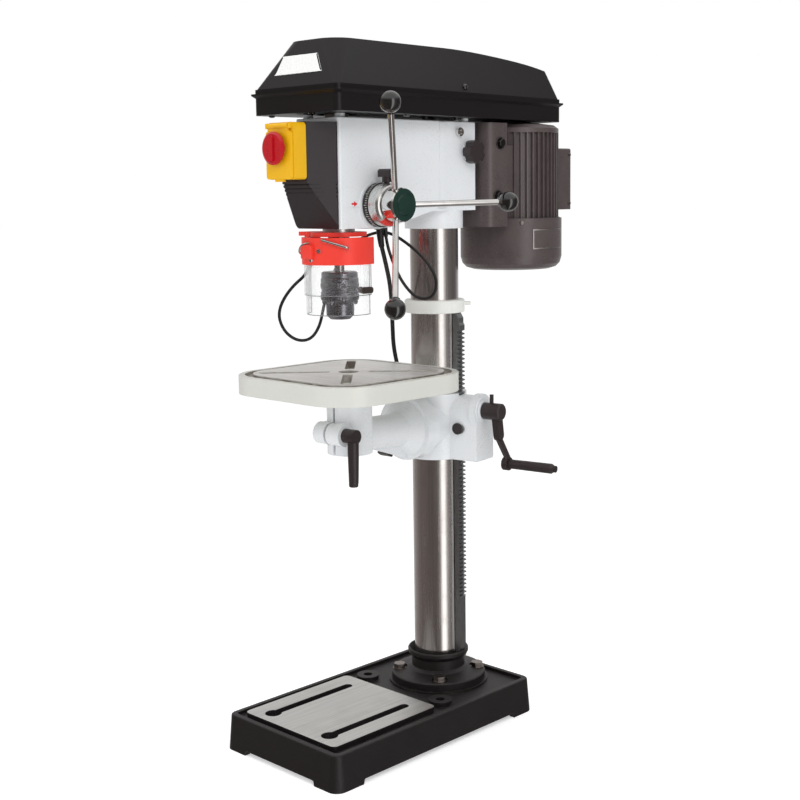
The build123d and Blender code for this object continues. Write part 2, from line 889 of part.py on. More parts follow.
# --- Table -----------------------------------------------------------------------------------------
table_at = arm.from_local_coords((0, -throat, 0))
table_frame = Plane((table_at.X, table_at.Y, 0))
groove_outer = table_size - 2 * table_rim
groove_inner = groove_outer - 2 * groove_width
rim_top = table_top - rim_drop
table_bottom = rim_top - table_side
with BuildPart() as table:
    extrude(
        round_box(above(table_frame, table_bottom), table_size, table_size, table_corner),
        amount=table_side,
    )
    fillet(table.faces().sort_by(Axis.Z)[-1].edges(), 1.2)
    extrude(
        round_box(
            above(table_frame, rim_top - groove_depth),
            groove_outer,
            groove_outer,
            table_corner - table_rim,
        ),
        amount=10,
        mode=Mode.SUBTRACT,
    )
    inner_corner = table_corner - table_rim - groove_width
    extrude(
        round_box(above(table_frame, rim_top - groove_depth - 2), groove_inner, groove_inner, inner_corner),
        amount=table_top - rim_top + groove_depth + 2,
    )
    extrude(
        round_box(above(table_frame, table_bottom - 1), table_size - 16, table_size - 16, table_corner - 8),
        amount=table_side - table_plate,
        mode=Mode.SUBTRACT,
    )
    for turn in (45, 135):
        tilted = above(table_frame, table_bottom + 2).rotated((0, 0, turn))
        extrude(
            box(tilted, -table_size * 0.55, table_size * 0.55, -12, -7.2 - 1),
            amount=table_side - table_plate - 1,
        )
        extrude(
            box(tilted, -table_size * 0.55, table_size * 0.55, 8.2, 12),
            amount=table_side - table_plate - 1,
        )
    extrude(
        disc(above(table_frame, clamp_top + 2), 66),
        amount=table_bottom - clamp_top + table_side - table_plate,
    )
    extrude(disc(above(table_frame, clamp_bottom + 4), stem_d), amount=table_bottom - clamp_bottom)
    # The centre hole runs on down the stem.
    extrude(disc(above(table_frame, clamp_bottom), table_hole), amount=200, mode=Mode.SUBTRACT)
    slots = [
        slot(
            above(table_frame, table_bottom - 1),
            (table_slot_in * cos(radians(a)), table_slot_in * sin(radians(a))),
            (table_slot_out * cos(radians(a)), table_slot_out * sin(radians(a))),
            table_slot,
        )
        for a in (45, 135, 225, 315)
    ]
    for through in slots:
        extrude(through, amount=40, mode=Mode.SUBTRACT)
table.part.label = "table"
export_step(table.part, "parts/table.step")

# --- Head casting -----------------------------------------------------------------------------------
ridge_y = column_y - 36
pinion_tip = (pinion_teeth + 2) * pinion_module
pads = ((-32, head_front + 14), (32, head_front + 14), (-34, head_back - 16), (34, head_back - 16))
screw_d = 5.0
knob_y = column_y + 27
knob_z = rod_z - 13
bearing_d = 34.0
with BuildPart() as head_casting:
    extrude(
        rounded(
            Plane.XY.offset(head_bottom),
            5,
            (2 - head_half, head_front),
            (head_half - 2, head_front),
            (head_half + 0.5, ridge_y),
            (head_half - 1, head_back),
            (1 - head_half, head_back),
            (-head_half - 0.5, ridge_y),
        ),
        amount=head_top - head_bottom,
    )
    fillet(head_casting.faces().sort_by(Axis.Z)[-1].edges(), 2)
    # The lower half is drawn in under a ledge, and cut away towards the column.
    for low, high in ((head_half - 3, head_half + 5), (-head_half - 5, 3 - head_half)):
        extrude(
            box(Plane.XY.offset(head_bottom - 5), low, high, head_front + 12, head_back + 2),
            amount=feed_z - head_bottom + 3,
            mode=Mode.SUBTRACT,
        )
    extrude(
        outline(
            side_of(machine, -head_half - 10),
            (spindle_y + 50, head_bottom - 2),
            (column_y - 50, head_rear_bottom),
            (head_back + 5, head_rear_bottom),
            (head_back + 5, head_bottom - 2),
        ),
        amount=2 * head_half + 20,
        mode=Mode.SUBTRACT,
    )
    extrude(
        disc(Plane.XY.offset(collar_bottom), collar_d, (0, column_y)),
        amount=head_rear_bottom - collar_bottom + 12,
    )
    extrude(disc(side_of(machine, -head_half, feed_y, feed_z), 66), amount=2 * head_half)
    extrude(disc(side_of(machine, head_half - 3, knob_y, knob_z), 26), amount=5)
    extrude(disc(Plane.XY.offset(head_top - 4), 14, *pads), amount=tray_bottom - head_top + 4)
    # Bores: quill, spindle, pulley bearing, column, feed shaft, motor rods, tension screw, tray screws.
    extrude(
        disc(Plane.XY.offset(collar_bottom - 1), quill_d + 2 * run_fit, (0, spindle_y)),
        amount=quill_top - collar_bottom + 5,
        mode=Mode.SUBTRACT,
    )
    extrude(disc(Plane.XY.offset(quill_top), 26, (0, spindle_y)), amount=80, mode=Mode.SUBTRACT)
    extrude(
        disc(Plane.XY.offset(head_top - 25), bearing_d + 2 * run_fit, (0, spindle_y)),
        amount=60,
        mode=Mode.SUBTRACT,
    )
    extrude(
        disc(Plane.XY.offset(collar_bottom - 1), 2 * socket_bore, (0, column_y)),
        amount=column_top - collar_bottom + 1,
        mode=Mode.SUBTRACT,
    )
    extrude(
        disc(side_of(machine, -60, feed_y, feed_z), feed_bearing_d + 2 * run_fit),
        amount=120,
        mode=Mode.SUBTRACT,
    )
    extrude(
        disc(front_of(machine, head_back + 5), rod_d + 2 * run_fit, (-rod_x, rod_z), (rod_x, rod_z)),
        amount=125,
        mode=Mode.SUBTRACT,
    )
    extrude(
        disc(side_of(machine, rod_x + rod_d / 2 + 0.5, knob_y, knob_z), 8 + 2 * run_fit),
        amount=30,
        mode=Mode.SUBTRACT,
    )
    extrude(disc(Plane.XY.offset(tray_bottom - 16), screw_d, *pads), amount=40, mode=Mode.SUBTRACT)
    extrude(
        disc(Plane.XY.offset(head_top - 18), 10 + 2 * run_fit, idler_pivot),
        amount=40,
        mode=Mode.SUBTRACT,
    )
head_casting.part.label = "head_casting"
export_step(head_casting.part, "parts/head_casting.step")

# --- Front cover -------------------------------------------------------------------------------------
def cover_shape(inset, back):
    return [
        box(
            front_of(machine, cover_front + inset),
            inset - cover_half,
            cover_half - inset,
            cover_break + inset,
            cover_top - inset,
        ),
        box(
            front_of(machine, head_front + back),
            inset - head_half + 1,
            head_half - 1 - inset,
            head_bottom + inset,
            cover_top - inset,
        ),
    ]


with BuildPart() as cover_grooves:
    for row in range(groove_rows):
        level = cover_break - 3 - row * groove_step
        extrude(
            box(Plane.XY.offset(level), -head_half - 5, head_half + 5, cover_front - 5, head_front - 3),
            amount=-1.6,
        )
    loft(cover_shape(groove_cut, -5), ruled=True, mode=Mode.SUBTRACT)

with BuildPart() as front_cover:
    loft(cover_shape(0, 0), ruled=True)
    fillet(front_cover.edges().filter_by(Axis.Z), 3)
    add(cover_grooves.part, mode=Mode.SUBTRACT)
    loft(cover_shape(cover_wall, 0.5), ruled=True, mode=Mode.SUBTRACT)
front_cover.part.label = "front_cover"
export_step(front_cover.part, "parts/front_cover.step")

# --- Switch --------------------------------------------------------------------------------------------
start_z = switch_bottom + 17
with BuildPart() as switch_box:
    extrude(
        round_box(
            front_of(machine, cover_front, 0, 0),
            2 * switch_half,
            switch_top - switch_bottom,
            5,
            0,
            (switch_top + switch_bottom) / 2,
        ),
        amount=cover_front - switch_face,
    )
    extrude(
        round_box(
            front_of(machine, switch_face + 6, 0, 0),
            2 * switch_half - 8,
            switch_top - switch_bottom - 20,
            3,
            0,
            (switch_top + switch_bottom) / 2 - 4,
        ),
        amount=10,
        mode=Mode.SUBTRACT,
    )
    extrude(
        disc(front_of(machine, switch_face + 18), 14 + 2 * run_fit, (0, start_z)),
        amount=22,
        mode=Mode.SUBTRACT,
    )
    # Lugs for the flap's pin.
    for x in (-switch_half + 1, switch_half - 5):
        extrude(box(front_of(machine, switch_face + 2), x, x + 4, switch_top - 8, switch_top - 1), amount=7)
    extrude(
        disc(side_of(machine, -switch_half - 1, switch_face - 2, switch_top - 4.5), 3),
        amount=2 * switch_half + 2,
    )
    extrude(
        disc(side_of(machine, -switch_half + 5, switch_face - 2, switch_top - 4.5), 9),
        amount=2 * switch_half - 10,
        mode=Mode.SUBTRACT,
    )
    extrude(
        disc(side_of(machine, -switch_half + 4, switch_face - 2, switch_top - 4.5), 3),
        amount=2 * switch_half - 8,
    )
switch_box.part.label = "switch_box"
export_step(switch_box.part, "parts/switch_box.step")

with BuildPart() as switch_flap:
    extrude(
        round_box(
            front_of(machine, switch_face - clear),
            2 * switch_half - 2,
            switch_top - switch_bottom - 12,
            4,
            0,
            (switch_top + switch_bottom) / 2 - 5.5,
        ),
        amount=4,
    )
    extrude(
        disc(side_of(machine, -switch_half + 6, switch_face - 2, switch_top - 4.5), 7.5),
        amount=2 * switch_half - 12,
    )
    extrude(
        box(
            front_of(machine, switch_face - clear),
            6 - switch_half,
            switch_half - 6,
            switch_top - 14,
            switch_top - 5,
        ),
        amount=3,
    )
    extrude(
        disc(side_of(machine, -switch_half, switch_face - 2, switch_top - 4.5), 3 + 2 * run_fit),
        amount=2 * switch_half,
        mode=Mode.SUBTRACT,
    )
    extrude(
        disc(front_of(machine, switch_face + 2, -2), 20 + 2 * run_fit, (0, mushroom_z)),
        amount=20,
        mode=Mode.SUBTRACT,
    )
    # The catch under the flap's lower edge.
    extrude(
        box(front_of(machine, switch_face - clear), -9, 9, switch_bottom - 3, switch_bottom + 4),
        amount=3,
    )
switch_flap.part.label = "switch_flap"
export_step(switch_flap.part, "parts/switch_flap.step")

with BuildPart() as stop_button:
    extrude(disc(front_of(machine, switch_face + 1.5, -2), 20, (0, mushroom_z)), amount=12)
    revolve(
        lathe_y(
            machine,
            -2,
            mushroom_z,
            (switch_face - 9, 0),
            (switch_face - 9, mushroom_d / 2 - 0.8),
            (switch_face - 10, mushroom_d / 2),
            (switch_face - 12, mushroom_d / 2),
            (switch_face - 14, mushroom_d / 2 - 3),
            (switch_face - 14.6, 0),
        ),
        axis=along(machine, -2, mushroom_z),
    )
    extrude(
        round_box(front_of(machine, switch_face - 13, -2), 9, mushroom_d - 10, 4, 0, mushroom_z),
        amount=4,
    )
stop_button.part.label = "stop_button"
export_step(stop_button.part, "parts/stop_button.step")

with BuildPart() as start_button:
    extrude(disc(front_of(machine, switch_face + 14), 14, (0, start_z)), amount=11)
    chamfer(start_button.faces().sort_by(Axis.Y)[0].edges(), 1)
start_button.part.label = "start_button"
export_step(start_button.part, "parts/start_button.step")

# --- Quill, spindle ------------------------------------------------------------------------------------
rack_line = 31.75 - pinion_teeth * pinion_module / 2
quill_pitch = pi * pinion_module
quill_teeth = 18
tip_y = rack_line + 0.85 * pinion_module
with BuildPart() as quill:
    extrude(disc(Plane.XY.offset(quill_bottom), quill_d, (0, spindle_y)), amount=quill_top - quill_bottom)
    chamfer(quill.edges().sort_by(Axis.Z)[-1], 1)
    extrude(
        disc(Plane.XY.offset(quill_bottom - 1), spindle_d + 2 * run_fit, (0, spindle_y)),
        amount=400,
        mode=Mode.SUBTRACT,
    )
    rack_low = feed_z - 2.5 * quill_pitch
    extrude(
        box(Plane.XY.offset(rack_low), -30, 30, spindle_y + tip_y, spindle_y + 40),
        amount=quill_top + 1 - rack_low,
        mode=Mode.SUBTRACT,
    )
    extrude(
        rack_gaps(
            side_of(machine, -12, spindle_y),
            pinion_module,
            0.2,
            quill_teeth,
            rack_line - 1.25 * pinion_module,
            tip_y,
            feed_z + ((quill_teeth - 1) / 2 - 2) * quill_pitch - quill_pitch / 2,
        ),
        amount=24,
        mode=Mode.SUBTRACT,
    )
quill.part.label = "quill"
export_step(quill.part, "parts/quill.step")

spline_r = 8.5
spindle_top = 962.0
spindle_end = chuck_top - 22
with BuildPart() as spindle:
    revolve(
        lathe(
            machine,
            0,
            spindle_y,
            (0, spindle_end),
            (5.5, spindle_end),
            (neck_d / 2, chuck_top - 1),
            (neck_d / 2, band_bottom),
            (9, band_bottom),
            (9, band_bottom + 5),
            (15, band_bottom + 5),
            (15, quill_bottom - 1),
            (spindle_d / 2, quill_bottom - 1),
            (spindle_d / 2, quill_top - 4),
            (spline_r - 1.5, quill_top - 2),
            (spline_r - 1.5, spindle_top),
            (0, spindle_top),
        ),
        axis=upright(machine, 0, spindle_y),
    )
    for a in range(0, 360, 60):
        extrude(
            box(Plane((0, spindle_y, quill_top - 3)).rotated((0, 0, a)), 4, spline_r, -2, 2),
            amount=spindle_top - quill_top + 3,
        )
spindle.part.label = "spindle"
export_step(spindle.part, "parts/spindle.step")

# --- Chuck: body, sleeve and three jaws ------------------------------------------------------------------
sleeve_bore = 44.0
jaw_length = 24.0
jaw_foot = nose_bottom + 1.5
lean = radians(jaw_tilt)
jaw_foot_r = drill_r + jaw_d / 2 - 1.0


def jaw_plane(angle):
    out = (cos(radians(angle)), sin(radians(angle)))
    start = (out[0] * jaw_foot_r, spindle_y + out[1] * jaw_foot_r, jaw_foot)
    up = (out[0] * sin(lean), out[1] * sin(lean), cos(lean))
    return Plane(start, x_dir=(-out[1], out[0], 0), z_dir=up)


with BuildPart() as chuck_body:
    revolve(
        lathe(
            machine,
            0,
            spindle_y,
            (0, nose_bottom),
            (14, nose_bottom),
            (nose_d / 2, nose_bottom + 5),
            (nose_d / 2 + 0.7, chuck_bottom - 0.5),
            (sleeve_bore / 2, chuck_bottom + 2),
            (sleeve_bore / 2, chuck_top - 8),
            (chuck_d / 2 - 1, chuck_top - 8),
            (chuck_d / 2 - 1, chuck_top - 2),
            (chuck_d / 2 - 3, chuck_top),
            (0, chuck_top),
        ),
        axis=upright(machine, 0, spindle_y),
    )
    revolve(
        lathe(
            machine,
            0,
            spindle_y,
            (0, spindle_end),
            (5.5, spindle_end),
            (neck_d / 2 + 0.15, chuck_top + 0.15),
            (0, chuck_top + 0.15),
        ),
        axis=upright(machine, 0, spindle_y),
        mode=Mode.SUBTRACT,
    )
    extrude(disc(Plane.XY.offset(nose_bottom - 1), 12, (0, spindle_y)), amount=36, mode=Mode.SUBTRACT)
    for a in (30, 150, 270):
        extrude(disc(jaw_plane(a).offset(-20), jaw_d + 0.2), amount=jaw_length + 28, mode=Mode.SUBTRACT)
        # Key holes between the jaws.
        extrude(
            disc(
                side_of(turned_frame(a + 60), 0, 0, nose_bottom + 12).move(Location((0, -throat, 0))),
                6.5,
            ),
            amount=40,
            mode=Mode.SUBTRACT,
        )
chuck_body.part.label = "chuck_body"
export_step(chuck_body.part, "parts/chuck_body.step")

with BuildPart() as chuck_sleeve:
    revolve(
        lathe(
            machine,
            0,
            spindle_y,
            (sleeve_bore / 2 + run_fit, chuck_bottom + 2.5),
            (chuck_d / 2 - 3, chuck_bottom),
            (chuck_d / 2, chuck_bottom + 3),
            (chuck_d / 2, chuck_bottom + 14),
            (chuck_d / 2 - 1, chuck_bottom + 15),
            (chuck_d / 2 - 1, chuck_bottom + 17),
            (chuck_d / 2, chuck_bottom + 18),
            (chuck_d / 2, chuck_top - 10),
            (chuck_d / 2 - 1, chuck_top - 8.5),
            (sleeve_bore / 2 + run_fit, chuck_top - 8.5),
        ),
        axis=upright(machine, 0, spindle_y),
    )
    # Bevel teeth round the lower edge.
    for tooth in range(30):
        notch = Plane((0, spindle_y, chuck_bottom + 1)).rotated((0, 0, tooth * 12))
        extrude(
            outline(
                Plane(notch.origin, x_dir=-notch.y_dir, z_dir=notch.x_dir),
                (-1.1, -4),
                (1.1, -4),
                (1.1, 0),
                (0, 3.2),
                (-1.1, 0),
            ),
            amount=40,
            mode=Mode.SUBTRACT,
        )
chuck_sleeve.part.label = "chuck_sleeve"
export_step(chuck_sleeve.part, "parts/chuck_sleeve.step")

for name, a in (("jaw_1", 30), ("jaw_2", 150), ("jaw_3", 270)):
    with BuildPart() as jaw:
        extrude(disc(jaw_plane(a).offset(-3), jaw_d), amount=jaw_length + 3)
        extrude(
            box(Plane.XY.offset(nose_bottom - 20), -40, 40, spindle_y - 40, spindle_y + 40),
            amount=20 + 1.5,
            mode=Mode.SUBTRACT,
        )
        extrude(
            disc(Plane.XY.offset(nose_bottom - 5), 2 * drill_r, (0, spindle_y)),
            amount=80,
            mode=Mode.SUBTRACT,
        )
    jaw.part.label = name
    export_step(jaw.part, f"parts/{name}.step")

# --- Feed: pinion shaft, hub, handles, depth stop and return spring ----------------------------------------
journal_end = head_half - 0.5
with BuildPart() as pinion_shaft:
    extrude(
        gear_outline(side_of(machine, -13, feed_y, feed_z), pinion_teeth, pinion_module, 0.2, 180, 0),
        amount=26,
    )
    for low, high, size in (
        (-journal_end, -15, feed_bearing_d),
        (15, journal_end, feed_bearing_d),
        (-16, 16, 2 * (pinion_teeth / 2 - 1.25) * pinion_module - 1),
        (-63, -journal_end + 1, feed_shaft_d),
        (journal_end - 1, hub_end - 4, feed_shaft_d),
    ):
        extrude(disc(side_of(machine, low, feed_y, feed_z), size), amount=high - low)
pinion_shaft.part.label = "pinion_shaft"
export_step(pinion_shaft.part, "parts/pinion_shaft.step")

feed_axis = across(machine, feed_y, feed_z)
shaft_bore = feed_shaft_d / 2 + run_fit
with BuildPart() as spring_cup:
    revolve(
        lathe_x(
            machine,
            feed_y,
            feed_z,
            (-head_half, 16),
            (-head_half, 31),
            (-head_half - 20, 31),
            (-head_half - 24, 27),
            (-head_half - 24, 0),
            (-head_half - 21, 0),
            (-head_half - 21, 26),
            (-head_half - 3, 26),
            (-head_half - 3, 16),
        ),
        axis=feed_axis,
    )
    extrude(hexagon(side_of(machine, -head_half - 32, feed_y, feed_z), 19), amount=10)
    for a in range(0, 360, 60):
        at = (29 * cos(radians(a)), 29 * sin(radians(a)))
        extrude(
            disc(side_of(machine, -head_half - 26, feed_y, feed_z), 7, at),
            amount=14,
            mode=Mode.SUBTRACT,
        )
spring_cup.part.label = "spring_cup"
export_step(spring_cup.part, "parts/spring_cup.step")

with BuildPart() as depth_ring:
    revolve(
        lathe_x(
            machine,
            feed_y,
            feed_z,
            (ring_x, shaft_bore),
            (ring_x, 30.0),
            (ring_x + 0.6, 30.6),
            (ring_x + 7.5, 30.6),
            (ring_x + 8.8, 29.5),
            (ring_x + 9.2, 29.0),
            (ring_x + 9.2, shaft_bore),
        ),
        axis=feed_axis,
    )
depth_ring.part.label = "depth_ring"
export_step(depth_ring.part, "parts/depth_ring.step")

with BuildPart() as depth_drum:
    revolve(
        lathe_x(
            machine,
            feed_y,
            feed_z,
            (drum_x, shaft_bore),
            (drum_x, 28.5),
            (drum_x + 0.6, 29.1),
            (drum_x + 14.5, 29.1),
            (hub_x - 1.5, 27.0),
            (hub_x - 0.3, 25.0),
            (hub_x - 0.3, shaft_bore),
        ),
        axis=feed_axis,
    )
    extrude(
        disc(Plane.XY.offset(feed_z + 12), 8 + 2 * run_fit, (drum_x + 8, feed_y)),
        amount=40,
        mode=Mode.SUBTRACT,
    )
depth_drum.part.label = "depth_drum"
export_step(depth_drum.part, "parts/depth_drum.step")

with BuildPart() as depth_lock_knob:
    extrude(disc(Plane.XY.offset(feed_z + 12.5), 8, (drum_x + 8, feed_y)), amount=29)
    extrude(disc(Plane.XY.offset(feed_z + 31), 13, (drum_x + 8, feed_y)), amount=8)
    extrude(round_box(Plane.XY.offset(feed_z + 38), 30, 11, 5, drum_x + 8, feed_y), amount=11)
    chamfer(depth_lock_knob.faces().sort_by(Axis.Z)[-1].edges(), 2)
depth_lock_knob.part.label = "depth_lock_knob"
export_step(depth_lock_knob.part, "parts/depth_lock_knob.step")

spoke_run = (ball_x - spoke_apex, ball_r)
spoke_length = hypot(*spoke_run)


def spoke_plane(angle, distance):
    out = (0, cos(radians(angle)), sin(radians(angle)))
    way = [spoke_run[0] / spoke_length, out[1] * ball_r / spoke_length, out[2] * ball_r / spoke_length]
    start = (spoke_apex + way[0] * distance, feed_y + way[1] * distance, feed_z + way[2] * distance)
    return Plane(start, x_dir=(0, -out[2], out[1]), z_dir=way)


with BuildPart() as feed_hub:
    revolve(
        lathe_x(
            machine,
            feed_y,
            feed_z,
            (hub_x, shaft_bore),
            (hub_x, 22.5),
            (hub_x + 1.5, 23.5),
            (hub_end - 4, 23.5),
            (hub_end - 1, 22.0),
            (hub_end - 0.5, 14.5),
            (hub_end + 1.5, 13.5),
            (hub_end + 2, 0),
            (hub_end - 3.8, 0),
            (hub_end - 3.8, shaft_bore),
        ),
        axis=feed_axis,
    )
    for a in spoke_angles:
        extrude(disc(spoke_plane(a, 14), spoke_d), amount=30, mode=Mode.SUBTRACT)
feed_hub.part.label = "feed_hub"
export_step(feed_hub.part, "parts/feed_hub.step")

with BuildPart() as feed_spokes:
    for a in spoke_angles:
        extrude(disc(spoke_plane(a, 14), spoke_d), amount=spoke_length - 14)
feed_spokes.part.label = "feed_spokes"
export_step(feed_spokes.part, "parts/feed_spokes.step")

with BuildPart() as ball_knobs:
    for a in spoke_angles:
        with Locations(spoke_plane(a, spoke_length).location):
            Sphere(ball_d / 2)
        extrude(disc(spoke_plane(a, spoke_length - ball_d / 2 - 1), 13), amount=6)
    for a in spoke_angles:
        extrude(disc(spoke_plane(a, spoke_length - 40), spoke_d), amount=40, mode=Mode.SUBTRACT)
ball_knobs.part.label = "ball_knobs"
export_step(ball_knobs.part, "parts/ball_knobs.step")

with BuildPart() as tension_knob:
    knob_face = head_half + 2
    extrude(disc(side_of(machine, knob_face + 2, knob_y, knob_z), 34), amount=14)
    knob_lobes = [(18 * cos(radians(a)), 18 * sin(radians(a))) for a in range(0, 360, 72)]
    extrude(
        disc(side_of(machine, knob_face + 1, knob_y, knob_z), 9, *knob_lobes),
        amount=16,
        mode=Mode.SUBTRACT,
    )
    extrude(disc(side_of(machine, knob_face + clear, knob_y, knob_z), 18), amount=3)
    extrude(
        disc(side_of(machine, rod_x + rod_d / 2 + 1, knob_y, knob_z), 8),
        amount=knob_face - rod_x - rod_d / 2 + 2,
    )
tension_knob.part.label = "tension_knob"
export_step(tension_knob.part, "parts/tension_knob.step")

# --- Belt guard: tray and lid -----------------------------------------------------------------------------
rim_z = tray_rim + 2
rim_slope = (guard_front_half - guard_back_half) / (guard_back - guard_front)
rim_angle = degrees(atan2(guard_front_half - guard_back_half, guard_back - guard_front))
rim_way = (sin(radians(rim_angle)), cos(radians(rim_angle)), 0)
hinge_out = 9.0
hinge_z = rim_z + 1.0
hinge_x = -guard_front_half - hinge_out / cos(radians(rim_angle))
hinges_at = (95.0, 390.0)
knuckle = 18.0


def guard_plan(z, grow, radius=9.0):
    front = guard_front_half + grow
    back = guard_back_half + grow
    return rounded(
        Plane.XY.offset(z),
        radius,
        (-front, guard_front - grow),
        (front, guard_front - grow),
        (back, guard_back + grow),
        (-back, guard_back + grow),
    )


def hinge_plane(distance):
    start = (hinge_x + rim_way[0] * distance, guard_front + rim_way[1] * distance, hinge_z)
    return Plane(start, x_dir=(-rim_way[1], rim_way[0], 0), z_dir=rim_way)


with BuildPart() as belt_tray:
    extrude(guard_plan(tray_bottom, 0), amount=tray_rim - tray_bottom)
    loft([guard_plan(tray_rim - 4, 0), guard_plan(tray_rim, rim_bead)])
    extrude(guard_plan(tray_rim, rim_bead), amount=rim_z - tray_rim)
    extrude(guard_plan(tray_bottom + guard_wall, -guard_wall, 6.0), amount=40, mode=Mode.SUBTRACT)
    # Openings for the spindle pulley, the idler's pivot and the motor shaft, and the screw holes.
    extrude(disc(Plane.XY.offset(tray_bottom - 1), 56, (0, spindle_y)), amount=8, mode=Mode.SUBTRACT)
    extrude(disc(Plane.XY.offset(tray_bottom - 1), 24, idler_pivot), amount=8, mode=Mode.SUBTRACT)
    extrude(
        slot(Plane.XY.offset(tray_bottom - 1), (0, motor_y - 18), (0, motor_y + 8), 46),
        amount=8,
        mode=Mode.SUBTRACT,
    )
    extrude(disc(Plane.XY.offset(tray_bottom - 1), screw_d + 0.4, *pads), amount=8, mode=Mode.SUBTRACT)
    # Hinge knuckles with their pins, on the left rim.
    for s in hinges_at:
        extrude(disc(hinge_plane(s), 8), amount=knuckle)
        extrude(disc(hinge_plane(s), 4), amount=2 * knuckle + 1)
        extrude(box(hinge_plane(s), rim_bead - hinge_out - 2, 0, -4, 0), amount=knuckle)
belt_tray.part.label = "belt_tray"
export_step(belt_tray.part, "parts/belt_tray.step")

with BuildPart() as tray_screws:
    for at in pads:
        extrude(disc(Plane.XY.offset(tray_bottom + guard_wall), 10, at), amount=3)
        extrude(disc(Plane.XY.offset(tray_bottom - 15), screw_d - 2 * seat, at), amount=15 + guard_wall)
tray_screws.part.label = "tray_screws"
export_step(tray_screws.part, "parts/tray_screws.step")

lid_back_rise = 20.0


def lid_plan(z, front_half, back_half, front_y, back_y, front_radius, back_radius):
    with BuildSketch(Plane.XY.offset(z)) as sketch:
        with BuildLine():
            Polyline(
                (-front_half, front_y),
                (front_half, front_y),
                (back_half, back_y),
                (-back_half, back_y),
                close=True,
            )
        make_face()
        fillet(sketch.vertices().sort_by(Axis.Y)[:2], front_radius)
        fillet(sketch.vertices().sort_by(Axis.Y)[-2:], back_radius)
    return sketch.sketch


def lid_shape(inset):
    front = guard_front_half - inset
    back = guard_back_half - inset
    top = lid_top_front - inset
    foot = rim_z + lid_skirt - inset
    lean_in = lid_lean * (1 - inset / (lid_top_front - rim_z))
    with BuildPart() as shape:
        extrude(
            lid_plan(rim_z, front, back, guard_front + inset, guard_back - inset, 8, 8),
            amount=foot - rim_z,
        )
        loft(
            [
                lid_plan(
                    foot,
                    front - lid_step,
                    back - lid_step,
                    guard_front + inset + lid_step,
                    guard_back - inset - lid_step,
                    7,
                    7,
                ),
                lid_plan(
                    top,
                    front - lean_in,
                    back - lid_back_rise,
                    guard_front + 29 + inset / 2,
                    guard_back - 24 - inset,
                    lid_corner - inset,
                    12 - inset,
                ),
            ]
        )
        with BuildSketch(Plane.YZ.offset(-200)):
            with BuildLine():
                Line((guard_back + 40, lid_top_front + 20), (column_y - 20, lid_top_front + 20))
                Line((column_y - 20, lid_top_front + 20), (column_y - 20, top))
                Spline(
                    (column_y - 20, top),
                    (column_y + 110, top - 6.5),
                    (guard_back - 18, lid_top_back - inset),
                    (guard_back + 40, lid_top_back - 16 - inset),
                    tangents=((1, 0), (1, -0.35)),
                )
                Line((guard_back + 40, lid_top_back - 16 - inset), (guard_back + 40, lid_top_front + 20))
            make_face()
        extrude(amount=400, mode=Mode.SUBTRACT)
    return shape.part


lid_hollow = lid_shape(guard_wall)
lid_outer = lid_shape(0)
with BuildPart() as guard_lid:
    add(lid_outer)
    add(lid_hollow, mode=Mode.SUBTRACT)
    for s in hinges_at:
        lid_knuckle = hinge_plane(s + knuckle + 0.5)
        extrude(disc(lid_knuckle, 8), amount=knuckle)
        extrude(box(lid_knuckle, -hinge_out - 2.5, 0, 0, 3.5), amount=knuckle)
        extrude(disc(hinge_plane(s), 4 + 2 * run_fit), amount=3 * knuckle, mode=Mode.SUBTRACT)
guard_lid.part.label = "guard_lid"
export_step(guard_lid.part, "parts/guard_lid.step")

# --- Step pulleys, idler arm and belts ----------------------------------------------------------------------
pulley_bottom = groove_first - groove_pitch / 2
groove_half = belt_width / 2 + 0.3
groove_deep = 8.0
groove_floor = groove_half - groove_deep * tan(radians(wedge))
belt_sink = 0.3
pulley_top = pulley_bottom + 4 * groove_pitch


def pulley_profile(steps, bore, hub_low):
    points = [(bore, hub_low), (steps[0] / 2, hub_low)]
    for level, size in enumerate(steps):
        z = groove_first + level * groove_pitch
        r = size / 2
        points += [
            (r, z - groove_half),
            (r - groove_deep, z - groove_floor),
            (r - groove_deep, z + groove_floor),
            (r, z + groove_half),
        ]
        if level < 3:
            step_z = z + groove_pitch / 2
            points += [(r, step_z), (steps[level + 1] / 2, step_z)]
    points += [(steps[3] / 2, pulley_top), (bore, pulley_top)]
    return points


def belt_section(y_low, r_low, y_high, r_high):
    lift = (r_low - r_high) / (y_high - y_low)
    side = (1 - lift**2) ** 0.5
    return lift, side


with BuildPart() as spindle_pulley:
    revolve(
        lathe(machine, 0, spindle_y, *pulley_profile(spindle_steps, spline_r - 1.3, pulley_bottom)),
        axis=upright(machine, 0, spindle_y),
    )
    extrude(
        ring(Plane.XY.offset(head_top - 24), bearing_d, 2 * spline_r - 2.6, (0, spindle_y)),
        amount=pulley_bottom - head_top + 24,
    )
    for a in range(0, 360, 60):
        extrude(
            box(Plane((0, spindle_y, head_top - 30)).rotated((0, 0, a)), 4, spline_r + 0.2, -2.1, 2.1),
            amount=120,
            mode=Mode.SUBTRACT,
        )
spindle_pulley.part.label = "spindle_pulley"
export_step(spindle_pulley.part, "parts/spindle_pulley.step")

with BuildPart() as idler_pulley:
    revolve(
        lathe(
            machine,
            0,
            idler_y,
            *pulley_profile(idler_steps, idler_shaft_d / 2 + run_fit, pulley_bottom),
        ),
        axis=upright(machine, 0, idler_y),
    )
idler_pulley.part.label = "idler_pulley"
export_step(idler_pulley.part, "parts/idler_pulley.step")

